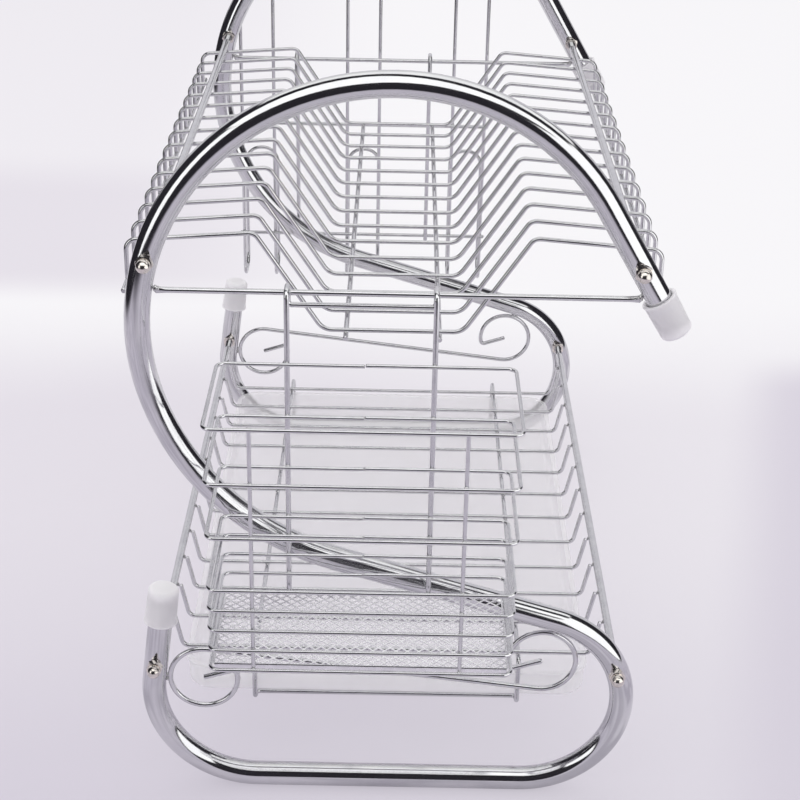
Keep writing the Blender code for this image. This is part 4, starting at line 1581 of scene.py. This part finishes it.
    def add_hem(self, shells: Shells, centre: Vector, half_x: float, half_y: float) -> None:
        """Adds the flat strips along the sheet's four edges, of which the front one is folded down.

        Args:
            shells: The sheet.
            centre: The middle of its underside.
            half_x: Half its width.
            half_y: Half its depth.
        """
        wide, thick = self.strand, self.sheet
        spans = (
            ((-half_x, -half_y, -self.hem_drop), (half_x, -half_y + thick, thick)),
            ((-half_x, half_y - wide, 0), (half_x, half_y, thick)),
            ((-half_x - wide, -half_y, 0), (-half_x, half_y, thick)),
            ((half_x, -half_y, 0), (half_x + wide, half_y, thick)),
        )
        for low, high in spans:
            axis = 0 if high[0] - low[0] > high[1] - low[1] else 1
            other = 1 - axis
            rows = []
            for i in range(self.hem_steps + 1):
                spot = low[axis] + (high[axis] - low[axis]) * i / self.hem_steps
                row = []
                for share, height in ((0, low[2]), (1, low[2]), (1, high[2]), (0, high[2])):
                    point = Vector((0, 0, height))
                    point[axis], point[other] = spot, low[other] + (high[other] - low[other]) * share
                    row.append(centre + point)
                rows.append(row)
            shells.rows(rows)


@dataclass
class BoardHolder(SubAssembly):
    """The holder for boards and lids: tall loops turned up into low arches, two ties and two hooks."""

    centre: float = -0.0225
    spacing: float = 0.068
    loop_count: int = 3
    loop_half_width: float = 0.0103
    rise: float = 0.055
    fall: float = 0.1675
    arch_drop: float = 0.0855
    slot_width: float = 0.026
    round_share: float = 0.94
    bottom_radius: float = 0.008
    tie_drops: Flat = (0.0600, 0.1355)
    tie_overrun: float = 0.0025
    hook_half_span: float = 0.042
    tail: float = 0.017
    sunk: float = 0.0004
    weld: Triple = (0.0012, 0.0007, 0.0012)

    def build(self) -> None:
        """Builds and dresses the holder and its welds."""
        wire, runner, rod_z = self.sizes.wire_radius, self.sizes.runner_radius, self.sizes.upper_rod_z
        leg_y = self.sizes.frame_spacing + self.sizes.accessory_offset
        tie_y = leg_y + runner + wire - self.sunk
        tall_y = tie_y + 2 * wire - self.sunk
        steps = [i - (self.loop_count - 1) / 2 for i in range(self.loop_count)]
        centres = [self.centre + step * self.spacing for step in steps]
        hooks = [self.centre + side.value * self.hook_half_span for side in Side]
        shells, welds = Shells(), Shells()
        for centre in centres:
            shells.bar(self.loop_route(centre, tall_y), wire, closed=True)
        foot = rod_z - self.tie_drops[-1] - self.tie_overrun
        for x in hooks:
            corners = self.sizes.hook_route(x, self.sizes.frame_spacing, 1, self.tail, foot)
            shells.bar(rounded(corners, self.sizes.hook_bend_radius), runner, side=X)
        overrun = self.loop_half_width + self.tie_overrun
        spots = [(x, (leg_y + tie_y) / 2 + GAP / 2) for x in hooks]
        for centre in centres:
            spots += [(centre + side.value * self.loop_half_width, (tall_y + tie_y) / 2) for side in Side]
        chance = random.Random("board holder")
        for drop in self.tie_drops:
            z = rod_z - drop
            shells.bar([Vector((x, tie_y, z)) for x in (centres[0] - overrun, centres[-1] + overrun)], wire)
            for x, y in spots:
                welds.bead(Vector((x, y, z)), self.weld, chance.uniform(*BEAD_SPREAD))
        self.shop.add("board_holder_wires", shells, Finish.WIRE, "board_holder", body=Body.HOLDER)
        self.shop.add("board_holder_welds", welds, Finish.WELD, body=Body.HOLDER)

    def loop_route(self, centre: float, tall_y: float) -> list[Vector]:
        """A loop's closed route: up one side, over the round top, down, out and up round the low arch.

        Args:
            centre: The loop's middle across the rack.
            tall_y: The place of its tall part along the rack.

        Returns:
            The route.
        """
        top, foot = self.sizes.upper_rod_z + self.rise, self.sizes.upper_rod_z - self.fall
        arch_z, arch_y = self.sizes.upper_rod_z - self.arch_drop, tall_y + self.slot_width
        side = [(tall_y, top), (tall_y, foot), (arch_y, foot), (arch_y, arch_z)]
        corners = [Vector((centre - self.loop_half_width, y, z)) for y, z in side]
        corners += [Vector((centre + self.loop_half_width, y, z)) for y, z in reversed(side)]
        round_top = self.loop_half_width * self.round_share
        radii = [round_top, self.bottom_radius, self.bottom_radius, round_top]
        return rounded(corners, radii + radii[::-1], closed=True)


# Studio


class StageNodes(Nodes):
    """The node tree of a stage material or of the world, emptied of what it starts with."""

    def __init__(self, owner: bpy.types.Material | bpy.types.World) -> None:
        """Takes and empties the tree."""
        super().__init__(owner)
        self.tree.nodes.clear()

    def noise(self, place: Socket, scale: float, detail: float = 1.0) -> Socket:
        """Noise at a scale, with so many layers of finer detail."""
        return self.new("ShaderNodeTexNoise", Vector=place, Scale=scale, Detail=detail).outputs["Fac"]

    def glow(self, colour: object, strength: float = 1.0) -> Socket:
        """Light of a colour."""
        return self.new("ShaderNodeEmission", Color=colour, Strength=strength).outputs["Emission"]

    def mix(self, share: Socket, first: Socket, second: Socket) -> Socket:
        """A mix of two shaders."""
        return self.new("ShaderNodeMixShader", Fac=share, _1=first, _2=second).outputs["Shader"]

    def largest(self, *values: Socket) -> Socket:
        """The largest of some values.

        Args:
            *values: The values.

        Returns:
            The largest.
        """
        most = values[0]
        for value in values[1:]:
            most = self.maths("MAXIMUM", most, value)
        return most


@dataclass(frozen=True)
class Panel:
    """A white panel that metal reflects: its outline in rack coordinates, and its level of light."""

    name: str
    outline: tuple[Triple, ...]
    light: float


def tent_side(x: float, span: Flat, heights: Flat) -> tuple[Triple, ...]:
    """The outline of an upright panel at one x, between two places along the rack and two heights."""
    (front, back), (low, high) = span, heights
    return (x, front, low), (x, back, low), (x, back, high), (x, front, high)


def tent_roof(*corners: Flat) -> tuple[Triple, ...]:
    """The outline of a level panel over the rack."""
    return tuple((x, y, ROOF_HEIGHT) for x, y in corners)


@dataclass(frozen=True)
class Studio:
    """A pale paper floor in a white tent that is open to the front, and the camera."""

    shop: Workshop
    # Paper colours with painted light in them: darker near and under the rack, lighter far away.
    near_paper: Triple = (0.67, 0.63, 0.715)
    middle_paper: Triple = (0.775, 0.74, 0.80)
    far_paper: Triple = (0.93, 0.92, 0.94)
    sky: Triple = (0.90, 0.885, 0.91)
    dark: Triple = (0.022, 0.020, 0.026)
    wall: Triple = (0.72, 0.71, 0.75)
    wall_start: Flat = (0.60, 0.75)
    fill: Triple = (0.97, 0.965, 0.975)
    paper_half_size: float = 30.0
    paper_front: float = -0.50
    paper_left: float = -0.68
    paper_right: float = 0.95
    paper_fade: float = 0.30
    paper_reach: Flat = (1.9, 3.2)
    paper_glow: float = 0.62
    paper_glossy_glow: float = 0.5
    paper_drift: float = 0.20
    paper_drift_scale: float = 2.2
    middle_start: Flat = (0.01, 0.39)
    far_start: Flat = (0.50, 0.74)
    # Painted light that lightens the paper from the left towards the right.
    lift: float = 0.26
    lift_start: Flat = (-0.22, 0.20)
    fibre_scale: float = 900.0
    fibre_detail: float = 3.0
    fibre_height: float = 0.00002
    # Painted shade: dark patches on the floor that only reflections show.
    patch: Triple = (0.36, 0.34, 0.40)
    patch_scale: float = 13.0
    patch_start: Flat = (0.40, 0.62)
    patch_depth: float = 0.5
    # Painted shade on the paper: at the far left, in a band there, and at the near right edge.
    corner_left: Flat = (0.04, -0.30)
    corner_left_end: Flat = (-1.2, -0.7)
    corner_start: Flat = (0.60, 0.68)
    corner_depth: float = 0.5
    fold_end: Flat = (1.00, 0.86)
    fold_depth: float = 0.9
    edge_slant: float = 0.2
    edge_start: Flat = (0.15, 0.21)
    edge_back: Flat = (0.54, 0.46)
    edge_right: Flat = (0.9, 0.5)
    edge_depth: float = 0.8
    lamp_power: float = 3.0
    lamp_size: float = 1.6
    lamp_place: Triple = (-0.5, 0.5, 1.7)
    panels: tuple[Panel, ...] = (
        Panel("tent_side_left", tent_side(-1, (-1.15, -0.42), (0.12, 1.05)), 1.4),
        Panel(
            "tent_roof_front",
            tent_roof((-0.4, -0.44), (-0.4, -0.05), (-0.05, -0.02), (0.5, -0.2), (0.5, -0.44)),
            1.4,
        ),
        Panel(
            "tent_roof_middle",
            tent_roof((-0.28, 0.14), (-0.28, 0.26), (0.5, 0.26), (0.5, 0.03), (0.05, 0.05)),
            1.15,
        ),
        Panel("tent_roof_back", tent_roof((-0.28, 0.26), (-0.28, 0.6), (0.26, 0.6), (0.26, 0.26)), 0.85),
        Panel("tent_side_right", tent_side(0.48, (-0.95, -0.02), (0.06, 0.6)), 1.4),
    )
    camera_place: Triple = (0.00195, -0.70217, 0.55885)
    camera_turn: float = 0.00284
    camera_fall: float = 0.4557
    camera_roll: float = 0.02111
    lens: float = 78.62

    def build(self) -> None:
        """Builds the floor, the world, the panels, the lamp and the camera."""
        self.add_floor()
        self.light_world()
        for panel in self.panels:
            self.add_panel(panel)
        self.add_lamp()
        self.add_camera()
        bpy.context.scene.view_settings.view_transform = "Standard"

    def stage(
        self, name: str, corners: Iterable[Sequence[float]], material: bpy.types.Material
    ) -> bpy.types.Object:
        """Adds a flat piece of the stage.

        Args:
            name: The piece's name.
            corners: Its outline.
            material: Its material.

        Returns:
            The piece.
        """
        points = [tuple(corner) for corner in corners]
        mesh = bpy.data.meshes.new(name)
        mesh.from_pydata(points, [], [tuple(range(len(points)))])
        mesh.materials.append(material)
        piece = in_scene(name, mesh)
        log.info("%s: stage", name)
        return piece

    def add_floor(self) -> None:
        """Adds the paper floor, which fades from lavender to near white as painted light (darker near and
        under the rack, lighter far away), shows painted dark patches in reflections and ends dark in
        reflections.
        """
        nodes = StageNodes(bpy.data.materials.new("paper"))
        position = nodes.new("ShaderNodeNewGeometry").outputs["Position"]
        moved = nodes.new("ShaderNodeVectorMath", _0=position, _1=self.shop.origin)
        moved.operation = "SUBTRACT"
        place = moved.outputs["Vector"]
        axes = nodes.new("ShaderNodeSeparateXYZ", Vector=place).outputs
        x, y = axes["X"], axes["Y"]
        path = nodes.new("ShaderNodeLightPath").outputs
        glossy = path["Is Glossy Ray"]
        paper = self.paper_tone(nodes, place, x, y)
        # Painted shade in patches that only the floor's reflections show.
        patches = nodes.noise(place, self.patch_scale)
        reflected_shade_mask = nodes.times(nodes.step(patches, *self.patch_start), self.patch_depth)
        paper = nodes.colour(nodes.times(reflected_shade_mask, glossy), paper, self.patch)
        fibre = nodes.noise(place, self.fibre_scale, self.fibre_detail)
        bump = nodes.new("ShaderNodeBump", Height=fibre, Distance=self.fibre_height).outputs["Normal"]
        cloth = nodes.new("ShaderNodeBsdfDiffuse", Color=paper, Normal=bump).outputs["BSDF"]
        faint = nodes.times(glossy, self.paper_glossy_glow)
        shown = nodes.largest(path["Is Camera Ray"], path["Is Transmission Ray"], faint)
        lit = nodes.mix(nodes.times(shown, self.paper_glow), cloth, nodes.glow(paper))
        fade = self.paper_fade
        front = nodes.step(y, self.paper_front, self.paper_front - fade)
        left = nodes.step(x, self.paper_left, self.paper_left - fade)
        right = nodes.step(x, self.paper_right, self.paper_right + fade)
        off = nodes.times(nodes.largest(front, left, right), glossy)
        nodes.new("ShaderNodeOutputMaterial", Surface=nodes.mix(off, lit, nodes.glow(self.dark)))
        half = self.paper_half_size
        corners = ((-half, -half, 0), (half, -half, 0), (half, half, 0), (-half, half, 0))
        self.stage("paper_floor", corners, nodes.owner)

    def paper_tone(self, nodes: StageNodes, place: Socket, x: Socket, y: Socket) -> Socket:
        """The paper's colour over the floor, with painted light in it: darker near and under the rack,
        lighter far away.

        Args:
            nodes: The paper's nodes.
            place: The place on the floor.
            x: Its x.
            y: Its y.

        Returns:
            The colour.
        """
        drift = nodes.noise(place, self.paper_drift_scale)
        along = nodes.maths("ADD", y, nodes.times(drift, self.paper_drift))
        # Painted light: the paper is darker near and under the rack and lighter far away.
        near = nodes.colour(nodes.step(along, *self.middle_start), self.near_paper, self.middle_paper)
        # Painted light: the paper lightened from the left towards the right.
        near = nodes.colour(nodes.times(nodes.step(x, *self.lift_start), self.lift), near, self.far_paper)
        paper = nodes.colour(nodes.step(along, *self.far_start), near, self.far_paper)
        # Painted shade at the far left and the near right edge.
        paper = self.crease(nodes, x, y, paper)
        reach = nodes.new("ShaderNodeVectorMath", _0=place)
        reach.operation = "LENGTH"
        away = nodes.step(reach.outputs["Value"], *self.paper_reach)
        return nodes.colour(away, paper, self.sky)

    def crease(self, nodes: StageNodes, x: Socket, y: Socket, paper: Socket) -> Socket:
        """Paints shade on the paper: a little darker at the far left, darker still in a band there, and at
        the near right edge.

        Args:
            nodes: The paper's nodes.
            x: The place's x.
            y: The place's y.
            paper: The paper's colour.

        Returns:
            The colour with its painted shade.
        """
        # Painted shade: masks for the darker far left, the darker band in it and the darker near right edge.
        left = nodes.times(nodes.step(x, *self.corner_left), nodes.step(x, *self.corner_left_end))
        corner = nodes.times(left, nodes.step(y, *self.corner_start))
        band_shade_mask = nodes.times(corner, nodes.step(y, *self.fold_end))
        slant = nodes.maths("SUBTRACT", x, nodes.times(y, self.edge_slant))
        edge = nodes.times(nodes.step(slant, *self.edge_start), nodes.step(y, *self.edge_back))
        edge = nodes.times(edge, nodes.step(x, *self.edge_right))
        paper = nodes.colour(nodes.times(corner, self.corner_depth), paper, self.middle_paper)
        paper = nodes.colour(nodes.times(band_shade_mask, self.fold_depth), paper, self.middle_paper)
        return nodes.colour(nodes.times(edge, self.edge_depth), paper, self.near_paper)

    def light_world(self) -> None:
        """Gives the world its soft fill, and for metal its dark front and pale back wall."""
        bpy.context.scene.world = bpy.data.worlds.new("studio")
        nodes = StageNodes(bpy.context.scene.world)
        way = nodes.new("ShaderNodeTexCoord").outputs["Generated"]
        axes = nodes.new("ShaderNodeSeparateXYZ", Vector=way).outputs
        room = nodes.colour(nodes.step(axes["Y"], *self.wall_start), self.dark, self.wall)
        path = nodes.new("ShaderNodeLightPath").outputs
        level = nodes.colour(path["Is Glossy Ray"], self.fill, room)
        plain = nodes.largest(path["Is Camera Ray"], path["Is Transmission Ray"])
        seen = nodes.colour(plain, level, self.sky)
        light = nodes.new("ShaderNodeBackground", Color=seen, Strength=1.0)
        nodes.new("ShaderNodeOutputWorld", Surface=light.outputs["Background"])

    def add_panel(self, panel: Panel) -> None:
        """Adds a panel that only metal shows.

        Args:
            panel: The panel.
        """
        nodes = StageNodes(bpy.data.materials.new(panel.name))
        nodes.new("ShaderNodeOutputMaterial", Surface=nodes.glow(WHITE, panel.light))
        corners = (Vector(corner) + self.shop.origin for corner in panel.outline)
        piece = self.stage(panel.name, corners, nodes.owner)
        piece.visible_camera = False
        piece.visible_diffuse = False
        piece.visible_transmission = False
        piece.visible_volume_scatter = False
        piece.visible_shadow = False

    def add_lamp(self) -> None:
        """Adds the large soft lamp overhead, which metal doesn't show twice."""
        light = bpy.data.lights.new("soft_lamp", "AREA")
        light.energy = self.lamp_power
        light.size = self.lamp_size
        lamp = in_scene("soft_lamp", light)
        place = Vector(self.lamp_place)
        lamp.matrix_world = facing(place, place)
        lamp.visible_glossy = False
        lamp.visible_camera = False

    def add_camera(self) -> None:
        """Adds the camera at the photograph's place."""
        cos_turn, sin_turn = math.cos(self.camera_turn), math.sin(self.camera_turn)
        cos_fall, sin_fall = math.cos(self.camera_fall), math.sin(self.camera_fall)
        ahead = Vector((sin_turn * cos_fall, cos_turn * cos_fall, -sin_fall))
        level = Vector((cos_turn, -sin_turn, 0))
        above = level.cross(ahead)
        right = level * math.cos(self.camera_roll) + above * math.sin(self.camera_roll)
        up = above * math.cos(self.camera_roll) - level * math.sin(self.camera_roll)
        data = bpy.data.cameras.new("camera")
        data.lens = self.lens
        camera = in_scene("camera", data)
        turn = Matrix((right, up, -ahead)).transposed().to_4x4()
        camera.matrix_world = Matrix.Translation(Vector(self.camera_place) + self.shop.origin) @ turn
        bpy.context.scene.camera = camera


def main() -> None:
    """Builds the rack's sub-assemblies and the studio, in order."""
    logging.basicConfig(level=logging.INFO, format="%(message)s", stream=sys.stdout)
    shop, sizes = Workshop(), RackSizes()
    for end in End:
        EndFrame(shop, sizes, end).build()
    for kind in (TieRods, PlateRack, LowerBasket, DripTray, CutleryBasket, BoardHolder):
        kind(shop, sizes).build()
    Studio(shop).build()
    log.info("%d pieces dressed", shop.count)


if __name__ == "__main__":
    main()
